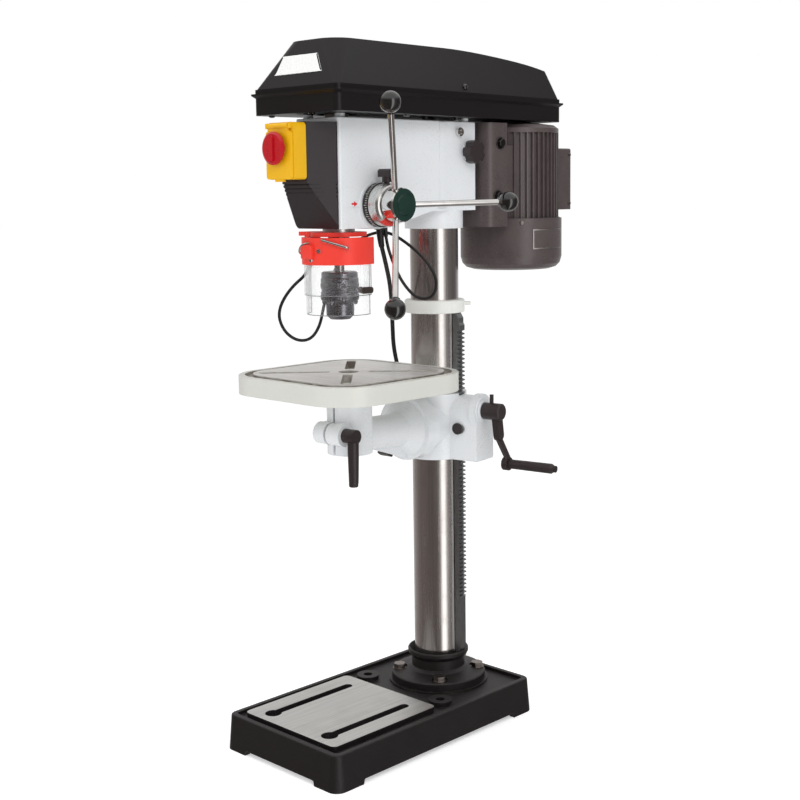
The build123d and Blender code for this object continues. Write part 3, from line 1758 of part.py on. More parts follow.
with BuildPart() as motor_pulley:
    revolve(
        lathe(machine, 0, motor_y, *pulley_profile(motor_steps, motor_shaft_d / 2 + 0.05, pulley_bottom)),
        axis=upright(machine, 0, motor_y),
    )
    # Its lower face is turned back, clear of the tray's corner radius.
    extrude(
        ring(Plane.XY.offset(pulley_bottom), motor_steps[0] + 2, motor_steps[0] - 36, (0, motor_y)),
        amount=1.5,
        mode=Mode.SUBTRACT,
    )
motor_pulley.part.label = "motor_pulley"
export_step(motor_pulley.part, "parts/motor_pulley.step")

arm_z = tray_bottom + guard_wall
with BuildPart() as idler_arm:
    extrude(slot(Plane.XY.offset(arm_z + 0.2), idler_pivot, (0, idler_y), 20), amount=2.4)
    extrude(disc(Plane.XY.offset(head_top - 17), 10, idler_pivot), amount=arm_z - head_top + 18)
    extrude(disc(Plane.XY.offset(arm_z + 2), idler_shaft_d, (0, idler_y)), amount=pulley_top - arm_z)
    extrude(hexagon(Plane.XY.offset(pulley_top + clear), 17, (0, idler_y)), amount=7)
idler_arm.part.label = "idler_arm"
export_step(idler_arm.part, "parts/idler_arm.step")

for name, low, high, level in (
    ("front_belt", (spindle_y, spindle_steps[front_step]), (idler_y, idler_steps[front_step]), front_step),
    ("rear_belt", (idler_y, idler_steps[rear_step]), (motor_y, motor_steps[rear_step]), rear_step),
):
    r_low = low[1] / 2 - belt_sink
    r_high = high[1] / 2 - belt_sink
    lift, side = belt_section(low[0], r_low, high[0], r_high)
    z = groove_first + level * groove_pitch
    start = (r_low * side, low[0] + r_low * lift, z)
    end = (r_high * side, high[0] + r_high * lift, z)
    with BuildPart() as belt:
        with BuildLine() as belt_path:
            Line(start, end)
            ThreePointArc(end, (0, high[0] + r_high, z), (-end[0], end[1], z))
            Line((-end[0], end[1], z), (-start[0], start[1], z))
            ThreePointArc((-start[0], start[1], z), (0, low[0] - r_low, z), start)
        middle = ((start[0] + end[0]) / 2, (start[1] + end[1]) / 2, z)
        inner_half = belt_width / 2 - belt_height * tan(radians(wedge))
        section = outline(
            Plane(start, x_dir=(side, lift, 0), z_dir=(-lift, side, 0)),
            (0, -belt_width / 2),
            (0, belt_width / 2),
            (-belt_height, inner_half),
            (-belt_height, -inner_half),
        )
        sweep(section, path=belt_path.wire())
    belt.part.label = name
    export_step(belt.part, f"parts/{name}.step")

# --- Motor ----------------------------------------
def channel(z, inset, radius):
    return rounded(
        Plane.XY.offset(z),
        radius,
        (inset - bracket_half, bracket_flange + 40),
        (inset - bracket_half, bracket_face + inset),
        (bracket_half - inset, bracket_face + inset),
        (bracket_half - inset, bracket_flange + 40),
    )


with BuildPart() as motor_bracket:
    extrude(channel(collar_bottom, 0, 19), amount=head_top - collar_bottom)
    extrude(channel(collar_bottom, 5, 14), amount=head_top - collar_bottom, mode=Mode.SUBTRACT)
    extrude(
        box(Plane.XY.offset(collar_bottom), -80, 80, bracket_flange, bracket_flange + 60),
        amount=head_top - collar_bottom,
        mode=Mode.SUBTRACT,
    )
    extrude(
        disc(front_of(machine, bracket_face + 10), rod_d, (-rod_x, rod_z), (rod_x, rod_z)),
        amount=20,
        mode=Mode.SUBTRACT,
    )
motor_bracket.part.label = "motor_bracket"
export_step(motor_bracket.part, "parts/motor_bracket.step")

with BuildPart() as slide_rods:
    for x in (-rod_x, rod_x):
        extrude(disc(front_of(machine, bracket_face + 5), rod_d, (x, rod_z)), amount=118)
        extrude(hexagon(front_of(machine, bracket_face + 5 + 9), 15, (x, rod_z)), amount=9)
slide_rods.part.label = "slide_rods"
export_step(slide_rods.part, "parts/slide_rods.step")

fins_top = motor_top - 17
with BuildPart() as motor_body:
    revolve(
        lathe(
            machine,
            0,
            motor_y,
            (motor_shaft_d / 2 + 0.5, motor_bottom - 12),
            (cowl_d / 2 - 2.6, motor_bottom - 12),
            (cowl_d / 2 - 2.6, motor_bottom),
            (motor_d / 2 - 2, motor_bottom),
            (motor_d / 2 - 2, fins_top),
            (fin_d / 2, fins_top),
            (fin_d / 2, motor_top - 10),
            (fin_d / 2 - 7, motor_top - 5),
            (34, motor_top),
            (motor_shaft_d / 2 + 0.5, motor_top),
        ),
        axis=upright(machine, 0, motor_y),
    )
    for fin in range(48):
        turned = Plane((0, motor_y, motor_bottom)).rotated((0, 0, fin * 7.5))
        extrude(box(turned, motor_d / 2 - 4, fin_d / 2, -1.1, 1.1), amount=fins_top - motor_bottom)
    # Feet bolted between the bracket's flanges.
    for low, high in ((-bracket_half + 5, -bracket_half + 21), (bracket_half - 21, bracket_half - 5)):
        extrude(
            box(Plane.XY.offset(motor_bottom + 20), low, high, bracket_flange - 26, motor_y - 45),
            amount=fins_top - motor_bottom - 40,
        )
motor_body.part.label = "motor_body"
export_step(motor_body.part, "parts/motor_body.step")

cowl_top = motor_bottom - 1
with BuildPart() as fan_cowl:
    revolve(
        lathe(
            machine,
            0,
            motor_y,
            (14, cowl_bottom),
            (cowl_d / 2 - 19, cowl_bottom),
            (cowl_d / 2 - 9, cowl_bottom + 3),
            (cowl_d / 2 - 3, cowl_bottom + 9),
            (cowl_d / 2, cowl_bottom + 19),
            (cowl_d / 2, cowl_top),
            (cowl_d / 2 - 2.5, cowl_top),
            (cowl_d / 2 - 2.5, cowl_bottom + 20),
            (cowl_d / 2 - 5, cowl_bottom + 11),
            (cowl_d / 2 - 11, cowl_bottom + 5),
            (cowl_d / 2 - 20, cowl_bottom + 2.5),
            (14, cowl_bottom + 2.5),
        ),
        axis=upright(machine, 0, motor_y),
    )
    # Air slots in the cowl's floor.
    for a in range(0, 360, 30):
        way = (cos(radians(a)), sin(radians(a)))
        extrude(
            slot(
                Plane.XY.offset(cowl_bottom - 1),
                (24 * way[0], motor_y + 24 * way[1]),
                (54 * way[0], motor_y + 54 * way[1]),
                6,
            ),
            amount=5,
            mode=Mode.SUBTRACT,
        )
fan_cowl.part.label = "fan_cowl"
export_step(fan_cowl.part, "parts/fan_cowl.step")

with BuildPart() as motor_rotor:
    extrude(
        disc(Plane.XY.offset(cowl_bottom + 16), motor_shaft_d, (0, motor_y)),
        amount=pulley_top + 2 - cowl_bottom - 16,
    )
    extrude(disc(Plane.XY.offset(cowl_bottom + 18), 36, (0, motor_y)), amount=32)
    extrude(disc(Plane.XY.offset(cowl_bottom + 48), 128, (0, motor_y)), amount=3)
    for blade in range(8):
        extrude(
            box(Plane((0, motor_y, cowl_bottom + 20)).rotated((0, 0, blade * 45)), 16, 64, -1.5, 1.5),
            amount=30,
        )
motor_rotor.part.label = "motor_rotor"
export_step(motor_rotor.part, "parts/motor_rotor.step")

box_half = 40.0
box_back = motor_y + 107
with BuildPart() as terminal_box:
    extrude(
        round_box(
            Plane.XY.offset(motor_bottom + 11),
            2 * box_half,
            box_back - motor_y - 50,
            8,
            0,
            (box_back + motor_y + 50) / 2,
        ),
        amount=97,
    )
    fillet(terminal_box.faces().sort_by(Axis.Z)[-1].edges(), 3)
    extrude(disc(Plane.XY.offset(motor_bottom), fin_d + 0.2, (0, motor_y)), amount=130, mode=Mode.SUBTRACT)
terminal_box.part.label = "terminal_box"
export_step(terminal_box.part, "parts/terminal_box.step")

# --- Chuck guard ----------------------------------------
def band_sector(z, outer, inner, start, end):
    with BuildSketch(Plane.XY.offset(z)) as sketch:
        with BuildLine():
            points = [
                (r * cos(radians(a)), spindle_y + r * sin(radians(a)))
                for r, a in (
                    (outer, start),
                    (outer, (start + end) / 2),
                    (outer, end),
                    (inner, end),
                    (inner, (start + end) / 2),
                    (inner, start),
                )
            ]
            ThreePointArc(*points[:3])
            Line(points[2], points[3])
            ThreePointArc(*points[3:])
            Line(points[5], points[0])
        make_face()
    return sketch.sketch


holder_bore = quill_d / 2 + 0.02
pivot = (pivot_x, pivot_y)
holder_plate = holder_height - 3.2
with BuildPart() as guard_holder:
    extrude(disc(Plane.XY.offset(quill_bottom), holder_d, (0, spindle_y)), amount=holder_plate)
    extrude(slot(Plane.XY.offset(quill_bottom), (-20, spindle_y), pivot, 16), amount=holder_plate)
    # Housing of the guard's safety switch, behind the pivot.
    extrude(
        round_box(Plane.XY.offset(band_bottom + 8), 16, 20, 3, pivot_x - 12.5, pivot_y + 12.5),
        amount=quill_bottom - band_bottom - 4,
    )
    extrude(
        box(Plane.XY.offset(quill_bottom), pivot_x - 20, pivot_x, pivot_y - 7, pivot_y + 22),
        amount=holder_plate,
    )
    extrude(disc(Plane.XY.offset(band_bottom - 2), pivot_d, pivot), amount=quill_bottom - band_bottom + 3)
    extrude(
        disc(Plane.XY.offset(quill_bottom - 1), 2 * holder_bore, (0, spindle_y)),
        amount=holder_height + 2,
        mode=Mode.SUBTRACT,
    )
guard_holder.part.label = "guard_holder"
export_step(guard_holder.part, "parts/guard_holder.step")

band_inner = band_r - 2.6
with BuildPart() as guard_band:
    extrude(band_sector(band_bottom, band_r, band_inner, 188, 385), amount=band_top - band_bottom)
    # Top web of the band, round the quill's end.
    extrude(band_sector(band_top - 2.5, band_r, band_inner - 8, 188, 372), amount=2.5)
    extrude(disc(Plane.XY.offset(band_bottom), 12, pivot), amount=band_top - band_bottom - 0.2)
    extrude(
        disc(Plane.XY.offset(band_bottom - 5), pivot_d + 2 * run_fit, pivot),
        amount=60,
        mode=Mode.SUBTRACT,
    )
guard_band.part.label = "guard_band"
export_step(guard_band.part, "parts/guard_band.step")

shield_r = band_inner - 0.05
with BuildPart() as inner_shield:
    extrude(
        band_sector(inner_shield_bottom, shield_r, shield_r - shield_wall, 198, 383),
        amount=band_top - 3 - inner_shield_bottom,
    )
    extrude(
        disc(side_of(machine, 20, spindle_y, inner_shield_bottom + 8), 5.2),
        amount=60,
        mode=Mode.SUBTRACT,
    )
inner_shield.part.label = "inner_shield"
export_step(inner_shield.part, "parts/inner_shield.step")

outer_r = shield_r - shield_wall - clear
with BuildPart() as outer_shield:
    extrude(
        band_sector(outer_shield_bottom, outer_r, outer_r - shield_wall, 198, 383),
        amount=outer_shield_top - outer_shield_bottom,
    )
    slot_low = inner_shield_bottom + 8 - 1
    extrude(
        slot(side_of(machine, 20, spindle_y), (0, slot_low + 1), (0, slot_low + shield_slide + 1), 6),
        amount=60,
        mode=Mode.SUBTRACT,
    )
outer_shield.part.label = "outer_shield"
export_step(outer_shield.part, "parts/outer_shield.step")

with BuildPart() as wing_screw:
    wing_z = inner_shield_bottom + 8
    extrude(disc(side_of(machine, outer_r - 6, spindle_y, wing_z), 5), amount=shield_r - outer_r + 12)
    extrude(disc(side_of(machine, outer_r - 5.5, spindle_y, wing_z), 9), amount=3 - clear)
    extrude(disc(side_of(machine, shield_r + clear, spindle_y, wing_z), 9), amount=6)
    extrude(round_box(side_of(machine, shield_r + 4), 22, 9, 4, spindle_y, wing_z), amount=3)
wing_screw.part.label = "wing_screw"
export_step(wing_screw.part, "parts/wing_screw.step")

# --- Cables ----------------------------------------
# A cable's bends: as wide as its shorter run allows at each corner.
def bend_radii(points):
    radii = []
    for a, b, c in zip(points, points[1:], points[2:]):
        into = Vector(*b) - Vector(*a)
        out = Vector(*c) - Vector(*b)
        turn = radians(into.get_angle(out))
        radii.append(0.45 * min(into.length, out.length) / tan(turn / 2))
    return radii


guard_cable_d = 4.5
guard_cable_route = [
    (pivot_x - 13, pivot_y + 11, band_bottom + 7.6),
    (pivot_x - 14, pivot_y + 9, 686),
    (pivot_x - 31, pivot_y - 18, 660),
    (pivot_x - 46, pivot_y - 28, 628),
    (pivot_x - 45, pivot_y - 20, 601),
    (pivot_x - 37, pivot_y - 2, 584),
    (pivot_x - 29, pivot_y + 19, 584),
    (pivot_x - 25, pivot_y + 34, 603),
    (pivot_x - 27, pivot_y + 44, 632),
    (pivot_x - 27, pivot_y + 56, 664),
    (pivot_x - 20, pivot_y + 70, 698),
    (pivot_x - 4, pivot_y + 86, 724),
    (pivot_x + 24, pivot_y + 98, 738),
    (pivot_x + 56, pivot_y + 99, 739),
    (pivot_x + 86, pivot_y + 104, 724),
    (pivot_x + 107, pivot_y + 121, 700),
    (pivot_x + 119, pivot_y + 133, 670),
    (pivot_x + 112, pivot_y + 131, 645),
    (pivot_x + 92, pivot_y + 119, 642),
    (pivot_x + 77, pivot_y + 105, 664),
    (pivot_x + 67, pivot_y + 95, 694),
    (pivot_x + 60, pivot_y + 88, 726),
    (pivot_x + 59, pivot_y + 87, 750),
]
mains_d = 6.4
mains_route = [
    (8, spindle_y + 72, 752),
    (6, spindle_y + 74, 728),
    (-8, spindle_y + 98, 696),
    (-36, spindle_y + 136, 655),
    (-62, spindle_y + 164, 604),
    (-84, spindle_y + 188, 548),
    (-90, spindle_y + 218, 486),
    (-84, spindle_y + 246, 410),
    (-77, spindle_y + 258, 330),
    (-75, spindle_y + 263, 250),
    (-74, spindle_y + 266, 175),
    (-76, spindle_y + 278, 112),
    (-82, spindle_y + 295, 62),
    (-90, spindle_y + 309, 30),
    (-92, spindle_y + 326, 15),
]
coil_at = (-126.0, spindle_y + 326)
coil_r = 34.0
for name, size, route in (
    ("guard_cable", guard_cable_d, guard_cable_route),
    ("mains_cord", mains_d, mains_route),
):
    bends = bend_radii(route)
    print(name, "bend radii", [round(r) for r in bends])
    with BuildPart() as cable:
        with BuildLine() as cable_path:
            FilletPolyline(*route, radius=bends)
        way = Vector(*route[1]) - Vector(*route[0])
        with BuildSketch(Plane(route[0], z_dir=way)):
            Circle(size / 2)
        sweep(path=cable_path.wire())
    length = cable_path.wire().length
    print(
        name,
        "length",
        round(length),
        "volume ratio",
        round(cable.part.volume / (pi * size**2 / 4 * length), 4),
    )
    cable.part.label = name
    export_step(cable.part, f"parts/{name}.step")

with BuildPart() as cord_coil:
    with BuildSketch(Plane((coil_at[0], coil_at[1], 0), x_dir=(1, 0, 0), z_dir=(0, -1, 0))):
        with Locations((coil_r, 10.2)):
            RectangleRounded(21, 20, 7)
    revolve(axis=Axis((coil_at[0], coil_at[1], 0), (0, 0, 1)))
cord_coil.part.label = "cord_coil"
export_step(cord_coil.part, "parts/cord_coil.step")

plug_way = Vector(1, -1, 0).normalized()
plug_plane = Plane((coil_at[0] - 17, coil_at[1] + 17, 20.2 + 18.6), x_dir=(1, 1, 0), z_dir=plug_way)
with BuildPart() as plug:
    extrude(disc(plug_plane.offset(-10), 37.5), amount=32)
    extrude(disc(plug_plane.offset(22), 30), amount=14)
    extrude(disc(plug_plane.offset(-20), 12), amount=12)
    for side in (-9.5, 9.5):
        extrude(disc(plug_plane.offset(35), 4.8, (side, 0)), amount=20)
plug.part.label = "plug"
export_step(plug.part, "parts/plug.step")
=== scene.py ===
# %% [markdown]
# # A pillar drill press, dressed for a portrait
#
# The press arrives as a fixed frame of sixty solids: castings, pulleys, shafts, covers. Their
# shapes stay as they are. This lesson gives them paint, steel and rubber, lays the two cords, and
# adds the small things that a machine of this kind wears: screws, a nameplate, scale lines, a
# spring. Everything is in metres, the operator stands at -Y, and the feed handles are at +X.

# %% Load the frame
import bpy
import bmesh
from math import cos, hypot, pi, radians, sin
from mathutils import Matrix, Vector


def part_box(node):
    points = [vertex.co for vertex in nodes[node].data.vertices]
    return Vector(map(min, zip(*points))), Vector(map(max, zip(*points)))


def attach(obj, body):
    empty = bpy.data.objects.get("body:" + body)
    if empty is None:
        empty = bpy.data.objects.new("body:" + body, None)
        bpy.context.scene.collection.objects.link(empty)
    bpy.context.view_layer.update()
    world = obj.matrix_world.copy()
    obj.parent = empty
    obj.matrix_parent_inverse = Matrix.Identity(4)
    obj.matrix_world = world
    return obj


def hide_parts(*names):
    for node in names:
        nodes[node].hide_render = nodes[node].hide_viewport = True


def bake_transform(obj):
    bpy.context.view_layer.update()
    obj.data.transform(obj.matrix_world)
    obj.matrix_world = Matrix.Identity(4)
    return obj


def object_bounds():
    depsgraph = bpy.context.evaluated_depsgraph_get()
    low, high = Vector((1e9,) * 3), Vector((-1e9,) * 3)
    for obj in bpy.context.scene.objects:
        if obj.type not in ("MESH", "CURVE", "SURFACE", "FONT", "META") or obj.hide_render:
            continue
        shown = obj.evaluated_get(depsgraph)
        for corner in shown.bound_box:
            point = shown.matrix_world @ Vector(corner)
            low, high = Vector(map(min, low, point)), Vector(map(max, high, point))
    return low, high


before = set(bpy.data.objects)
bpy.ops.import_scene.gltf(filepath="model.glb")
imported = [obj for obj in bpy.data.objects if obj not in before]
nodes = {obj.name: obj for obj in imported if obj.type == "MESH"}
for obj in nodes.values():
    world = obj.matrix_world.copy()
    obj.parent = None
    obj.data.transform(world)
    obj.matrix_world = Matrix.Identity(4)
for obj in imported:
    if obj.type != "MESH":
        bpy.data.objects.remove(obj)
cad_box = [list(corner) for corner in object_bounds()]
print("solids", len(nodes), "box", [[round(v, 3) for v in corner] for corner in cad_box])

# %% [markdown]
# ## Camera
#
# The camera stands to the right of the machine and looks slightly down on it, from far enough
# that uprights stay nearly parallel. Its turn is built from three plain rotations: a small roll,
# the downward tilt, and the heading. The small shift only frames the picture.

# %% Camera
camera_place = Vector((1.389, -1.392, 0.796))
heading, downward, roll = 44.03, 7.38, -0.68  # degrees
camera_data = bpy.data.cameras.new("portrait_camera")
camera_data.lens = 60.7
camera_data.sensor_width = 36.0
camera_data.shift_x = -0.025
camera_data.shift_y = -0.042
camera = bpy.data.objects.new("portrait_camera", camera_data)
bpy.context.scene.collection.objects.link(camera)
camera.matrix_world = (
    Matrix.Translation(camera_place)
    @ Matrix.Rotation(radians(heading), 4, "Z")
    @ Matrix.Rotation(radians(90 - downward), 4, "X")
    @ Matrix.Rotation(radians(roll), 4, "Z")
)
bpy.context.scene.camera = camera
print("camera", [round(v, 3) for v in camera_place], "lens", camera_data.lens)

# %% [markdown]
# ## Studio
#
# A white sweep and soft lamps light the paint. Polished steel has no colour of its own: it shows
# the room. So the room that mirrors see is drawn apart from the room that lights the paint. It is
# a dim, warm studio with one tall bright panel to the right of the camera, which puts the single
# bright stripe down the column. A Light Path node hands that room to glossy rays alone.

# %% Studio room
world = bpy.data.worlds.new("studio_room")
bpy.context.scene.world = world
world.use_nodes = True
room = world.node_tree
room.nodes.clear()
view_settings = bpy.context.scene.view_settings
view_settings.view_transform = "Standard"
view_settings.look = "None"
view_settings.exposure = 0.0


def room_node(kind, **sockets):
    node = room.nodes.new(kind)
    for name, value in sockets.items():
        node.inputs[name].default_value = value
    return node


def room_math(operation, first, second=None):
    node = room.nodes.new("ShaderNodeMath")
    node.operation = operation
    for socket, value in zip(node.inputs, (first, second)):
        if isinstance(value, (int, float)):
            socket.default_value = value
        elif value is not None:
            room.links.new(value, socket)
    return node.outputs[0]


direction = room_node("ShaderNodeTexCoord").outputs["Generated"]
parts = room_node("ShaderNodeSeparateXYZ")
room.links.new(direction, parts.inputs[0])
# Azimuth as a share of a full turn: 0 is -Y, where the operator stands, and 0.25 is +X.
azimuth = room_math("ARCTAN2", parts.outputs["X"], room_math("MULTIPLY", parts.outputs["Y"], -1.0))
share = room_math("FRACT", room_math("MULTIPLY", azimuth, 0.5 / pi))
panels = room_node("ShaderNodeValToRGB")
panels.color_ramp.interpolation = "EASE"
stops = (
    (0.000, (0.115, 0.095, 0.088)),
    (0.060, (0.120, 0.100, 0.092)),
    (0.120, (0.130, 0.112, 0.105)),
    (0.165, (0.200, 0.180, 0.172)),
    (0.192, (1.900, 1.870, 1.830)),
    (0.232, (1.900, 1.870, 1.830)),
    (0.262, (0.340, 0.320, 0.310)),
    (0.310, (0.210, 0.195, 0.190)),
    (0.370, (0.120, 0.105, 0.100)),
    (0.440, (0.140, 0.130, 0.130)),
    (0.560, (0.620, 0.610, 0.600)),
    (0.680, (0.620, 0.610, 0.600)),
    (0.770, (0.300, 0.270, 0.255)),
    (0.870, (0.170, 0.145, 0.135)),
    (0.950, (0.145, 0.120, 0.112)),
)
ramp = panels.color_ramp
for number, (place, colour) in enumerate(stops):
    stop = ramp.elements[number] if number < 2 else ramp.elements.new(place)
    stop.position = place
    stop.color = (*colour, 1.0)
room.links.new(share, panels.inputs["Fac"])
sky = room_node("ShaderNodeValToRGB")
sky.color_ramp.elements[0].position = 0.30
sky.color_ramp.elements[0].color = (0.0, 0.0, 0.0, 1.0)
sky.color_ramp.elements[1].position = 0.62
sky.color_ramp.elements[1].color = (1.0, 1.0, 1.0, 1.0)
room.links.new(parts.outputs["Z"], sky.inputs["Fac"])
overhead = room_node("ShaderNodeMix")
overhead.data_type = "RGBA"
room.links.new(sky.outputs["Color"], overhead.inputs[0])
room.links.new(panels.outputs["Color"], overhead.inputs[6])
overhead.inputs[7].default_value = (0.85, 0.84, 0.83, 1.0)
mirrored_room = room_node("ShaderNodeBackground", Strength=1.0)
room.links.new(overhead.outputs[2], mirrored_room.inputs["Color"])
white_room = room_node("ShaderNodeBackground", Color=(1.0, 1.0, 1.0, 1.0), Strength=1.0)
soft_room = room_node("ShaderNodeBackground", Color=(1.0, 1.0, 1.0, 1.0), Strength=0.62)
light_path = room_node("ShaderNodeLightPath")


def choose(question, otherwise, answer):
    chooser = room_node("ShaderNodeMixShader")
    room.links.new(light_path.outputs[question], chooser.inputs["Fac"])
    room.links.new(otherwise.outputs[0], chooser.inputs[1])
    room.links.new(answer.outputs[0], chooser.inputs[2])
    return chooser


lit = choose("Is Glossy Ray", soft_room, mirrored_room)
seen = choose("Is Camera Ray", lit, white_room)
room_output = room_node("ShaderNodeOutputWorld")
room.links.new(seen.outputs[0], room_output.inputs["Surface"])
print("room panels", len(stops))

# %% Soft lamps and the sweep
lamps = (
    # name, place, aim, size, watts
    ("key_lamp", (1.5, -1.0, 1.9), (0.0, -0.02, 0.70), 1.1, 13.0),
    ("front_lamp", (-0.9, -2.1, 1.3), (0.0, -0.05, 0.60), 1.4, 6.0),
    ("top_lamp", (0.1, -0.2, 2.4), (0.0, 0.0, 0.5), 1.2, 8.0),
)
for lamp_name, place, aim, lamp_size, watts in lamps:
    lamp_data = bpy.data.lights.new(lamp_name, "AREA")
    lamp_data.shape = "DISK"
    lamp_data.size = lamp_size
    lamp_data.energy = watts
    lamp = bpy.data.objects.new(lamp_name, lamp_data)
    lamp.location = place
    lamp.rotation_euler = (Vector(aim) - Vector(place)).to_track_quat("-Z", "Y").to_euler()
    lamp.visible_glossy = False  # mirrors show the drawn room instead
    bpy.context.scene.collection.objects.link(lamp)

bpy.ops.object.select_all(action="DESELECT")
floor_level = cad_box[0][2]
bpy.ops.mesh.primitive_plane_add(size=60.0, location=(0.0, 0.0, floor_level))
sweep = bpy.context.active_object
sweep.name = "studio_floor"
bpy.ops.object.transform_apply(location=True, rotation=True, scale=True)
sweep_paint = bpy.data.materials.new("studio_floor_white")
sweep_paint.use_nodes = True
sweep_shader = sweep_paint.node_tree.nodes["Principled BSDF"]
sweep_shader.inputs["Base Color"].default_value = (0.90, 0.90, 0.90, 1.0)
sweep_shader.inputs["Roughness"].default_value = 1.0
sweep_shader.inputs["Specular IOR Level"].default_value = 0.0
sweep_shader.inputs["Emission Color"].default_value = (1.0, 1.0, 1.0, 1.0)
sweep_shader.inputs["Emission Strength"].default_value = 0.47
sweep.data.materials.append(sweep_paint)
sweep.visible_glossy = False  # bare steel mirrors the drawn room, not this bright sheet
print("lamps", len(lamps), "floor at", round(floor_level, 4))

# %% [markdown]
# ## Cords first
#
# Two cords leave the machine. A thin signal cable comes out of the chuck guard's switch, hangs in
# a loop at the left, rises behind the guard, and after a second loop beside the column goes up
# into the head, with slack for the quill's travel. The mains lead leaves the head's underside,
# falls behind the column to the bench, and the rest of it lies in a tied coil behind the base.
#
# Bent wire looks wrong as a cord: a cord is one smooth curve under its own weight. So each route
# is a NURBS spline with few control points. Its order is set after the points are there, since
# before that it would fall back to straight runs.


# %% A cord along a smooth route
def millimetres(*points):
    return [Vector(point) / 1000.0 for point in points]


def smooth_route(name, points, thickness=None):
    """A NURBS curve with those control points, round in section if a thickness is given."""
    curve = bpy.data.curves.new(name, "CURVE")
    curve.dimensions = "3D"
    spline = curve.splines.new("NURBS")
    spline.points.add(len(points) - 1)
    for control, point in zip(spline.points, points):
        control.co = (*point, 1.0)
    spline.order_u = 3
    spline.use_endpoint_u = True
    spline.resolution_u = 10
    curve.resolution_u = 10
    if thickness:
        curve.bevel_depth = thickness / 2
        curve.bevel_resolution = 5
        curve.use_fill_caps = True
    route = bpy.data.objects.new(name, curve)
    bpy.context.scene.collection.objects.link(route)
    return route


def centre_line(route):
    """The points along a route that has no thickness, in order."""
    bpy.context.view_layer.update()
    line = bpy.data.meshes.new_from_object(route)
    points = [vertex.co.copy() for vertex in line.vertices]
    bpy.data.meshes.remove(line)
    return points


# %% Mains lead with its coil
mains_thick = 0.0064
coil_x, coil_y = -126.0, 211.5


def coil_point(angle, radius, height):
    turn = radians(angle)
    return (coil_x + radius * cos(turn), coil_y + radius * sin(turn), height)


drop = [
    (8, -42.5, 752), (6, -40.5, 728), (-8, -16.5, 696), (-36, 21.5, 655), (-62, 49.5, 604),
    (-84, 73.5, 548), (-90, 103.5, 486), (-84, 131.5, 410), (-77, 143.5, 330), (-75, 148.5, 250),
    (-74, 151.5, 175), (-76, 163.5, 112), (-82, 180.5, 62), (-90, 194.5, 30), (-88, 207.0, 15),
]
# Each turn is twelve control points. Outer turns lie on inner ones a cord's thickness up.
first_turn = [coil_point(30, 40.5, 8), coil_point(60, 40, 4.5)]
first_turn += [coil_point(angle, 38.5, 3.4) for angle in range(90, 331, 30)]
step_in = [coil_point(0, 36, 3.4), coil_point(30, 33, 3.4)]
second_turn = [coil_point(angle, 31.2, 3.4) for angle in range(60, 331, 30)]
step_up = [coil_point(0, 31.2, 5.5), coil_point(30, 31.2, 8.5)]
third_turn = [coil_point(angle, 31.2, 10.0) for angle in range(60, 331, 30)]
step_out = [coil_point(0, 33, 10.0), coil_point(30, 36, 10.0)]
fourth_turn = [coil_point(angle, 38.2, 10.0) for angle in range(60, 331, 30)]
step_over = [coil_point(0, 37.0, 13.0), coil_point(30, 35.0, 16.2)]
fifth_turn = [coil_point(angle, 34.5, 16.4) for angle in range(60, 361, 30)]
tail = [
    (-93, 226, 14.5), (-98, 241, 11), (-108, 255, 8), (-116, 267, 9), (-121.7, 278, 13),
    (-139.4, 285.3, 20), (-157.1, 278, 29), (-164.4, 260.3, 36), (-157.1, 242.6, 38.8),
]
mains_points = millimetres(
    *drop, *first_turn, *step_in, *second_turn, *step_up, *third_turn, *step_out, *fourth_turn,
    *step_over, *fifth_turn, *tail,
)
mains_bare = smooth_route("mains_line", mains_points)
mains_path = centre_line(mains_bare)
bpy.data.objects.remove(mains_bare)
mains_lead = smooth_route("mains_lead", mains_points, mains_thick)

# %% Signal cable of the chuck guard
signal_thick = 0.0045
signal_points = millimetres(
    (-65, -107.5, 705.6), (-66, -109.5, 686), (-83, -136.5, 660), (-98, -146.5, 628),
    (-97, -138.5, 601), (-89, -120.5, 584), (-81, -99.5, 584), (-77, -84.5, 603),
    (-79, -74.5, 632), (-79, -62.5, 664), (-72, -48.5, 698), (-56, -32.5, 724),
    (-28, -20.5, 738), (4, -19.5, 739), (34, -14.5, 724), (55, 2.5, 700), (67, 14.5, 670),
    (60, 12.5, 645), (40, 0.5, 642), (25, -13.5, 664), (15, -23.5, 694), (8, -30.5, 726),
    (7, -31.5, 750),
)
signal_line = smooth_route("signal_line", signal_points)
signal_path = centre_line(signal_line)
bpy.data.objects.remove(signal_line)
signal_curve = smooth_route("signal_curve", signal_points, signal_thick)
bpy.context.view_layer.update()
signal_cable = bpy.data.objects.new("signal_cable", bpy.data.meshes.new_from_object(signal_curve))
bpy.context.scene.collection.objects.link(signal_cable)
bpy.data.objects.remove(signal_curve)

# %% [markdown]
# ## Shared surface effects
#
# Paint, castings and steel share a few effects: a fine grain, paler worn edges, dust on what
# faces up, and streaks left by grinding. Each could be painted again in every material. Instead
# each is one node group with its own inputs, and every finish places it with its own values. The
# groups give out only masks and values; the shader itself stays in the material.


# %% Short ways to add shader nodes
def add(tree, kind, settings=None, **inputs):
    """A node with its settings, and its inputs set to a number or joined to another socket."""
    node = tree.nodes.new("ShaderNode" + kind)
    for name, value in (settings or {}).items():
        setattr(node, name, value)
    for name, value in inputs.items():
        join(tree, value, node.inputs[name.replace("_", " ")])
    return node


def join(tree, value, socket):
    if isinstance(value, bpy.types.NodeSocket):
        tree.links.new(value, socket)
    elif value is not None:
        socket.default_value = value


def figure(tree, operation, *values):
    """A Math node's result."""
    node = add(tree, "Math", {"operation": operation})
    for value, socket in zip(values, node.inputs):
        join(tree, value, socket)
    return node.outputs[0]


def times(tree, *factors):
    """Masks or numbers multiplied together."""
    product = factors[0]
    for factor in factors[1:]:
        product = figure(tree, "MULTIPLY", product, factor)
    return product


